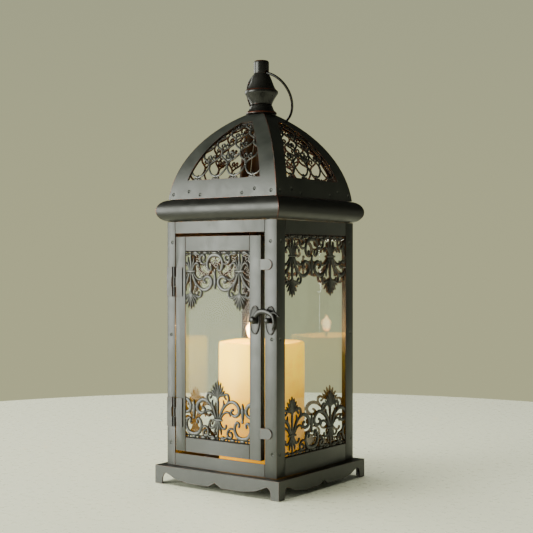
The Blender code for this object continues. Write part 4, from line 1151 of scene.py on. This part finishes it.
glow_data = bpy.data.lights.new("flame_light", "POINT")
glow_data.energy = 0.22
glow_data.color = (1.0, 0.48, 0.16)
glow_data.shadow_soft_size = 0.004
glow = bpy.data.objects.new("flame_light", glow_data)
glow.location = (wick_middle.x, wick_middle.y, flame_foot + GLOW_HEIGHT)
bpy.context.scene.collection.objects.link(glow)
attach(glow, "candle")


WINDOW_SIDE = Vector((-0.60, -0.80, 0.13)).normalized()


def studio_world():
    """A plain backdrop, and for the lighting a soft window at the front left under a dim ceiling."""
    world = bpy.data.worlds.new("studio")
    world.use_nodes = True
    tree = world.node_tree

    def add(kind, **settings):
        node = tree.nodes.new(kind)
        for key, value in settings.items():
            setattr(node, key, value)
        return node

    def spread(source, start, end):
        node = add("ShaderNodeMapRange", interpolation_type="SMOOTHSTEP")
        node.inputs["From Min"].default_value = start
        node.inputs["From Max"].default_value = end
        tree.links.new(source, node.inputs["Value"])
        return node.outputs["Result"]

    def blend(share, first, second, mode="MIX"):
        node = add("ShaderNodeMix", data_type="RGBA", blend_type=mode)
        tree.links.new(share, node.inputs["Factor"])
        for value, socket in ((first, node.inputs[6]), (second, node.inputs[7])):
            if isinstance(value, bpy.types.NodeSocket):
                tree.links.new(value, socket)
            else:
                socket.default_value = value
        return node.outputs[2]

    direction = add("ShaderNodeTexCoord").outputs["Generated"]
    split = add("ShaderNodeSeparateXYZ")
    tree.links.new(direction, split.inputs["Vector"])
    backdrop = blend(spread(split.outputs["Z"], -0.05, 0.45), (0.47, 0.47, 0.27, 1), (0.38, 0.40, 0.26, 1))
    room = blend(spread(split.outputs["Z"], -0.05, 0.30), (0.34, 0.35, 0.26, 1), (0.045, 0.048, 0.038, 1))
    toward = add("ShaderNodeVectorMath", operation="DOT_PRODUCT")
    toward.inputs[1].default_value = WINDOW_SIDE
    tree.links.new(direction, toward.inputs[0])
    lit = blend(spread(toward.outputs["Value"], 0.885, 0.995), room, (15.0, 15.5, 13.8, 1))
    path = add("ShaderNodeLightPath")
    seen = add("ShaderNodeMath", operation="MAXIMUM")
    tree.links.new(path.outputs["Is Camera Ray"], seen.inputs[0])
    tree.links.new(path.outputs["Is Transmission Ray"], seen.inputs[1])
    colour = blend(seen.outputs["Value"], lit, backdrop)
    tree.links.new(colour, tree.nodes["Background"].inputs["Color"])
    bpy.context.scene.world = world


studio_world()

# Fitted to the corners of the base, body and cornice in the photograph.
CAMERA_PLACE = (0.5425, -0.7346, 0.1788)
CAMERA_TILT = math.radians(89.85)
CAMERA_TURN = math.radians(36.18)
CAMERA_LENS = 74.39
camera_data = bpy.data.cameras.new("camera")
camera_data.lens = CAMERA_LENS
camera_data.sensor_width = 36
camera = bpy.data.objects.new("camera", camera_data)
camera.location = CAMERA_PLACE
camera.rotation_euler = (CAMERA_TILT, 0, CAMERA_TURN)
bpy.context.scene.collection.objects.link(camera)
bpy.context.scene.camera = camera

bpy.context.view_layer.update()
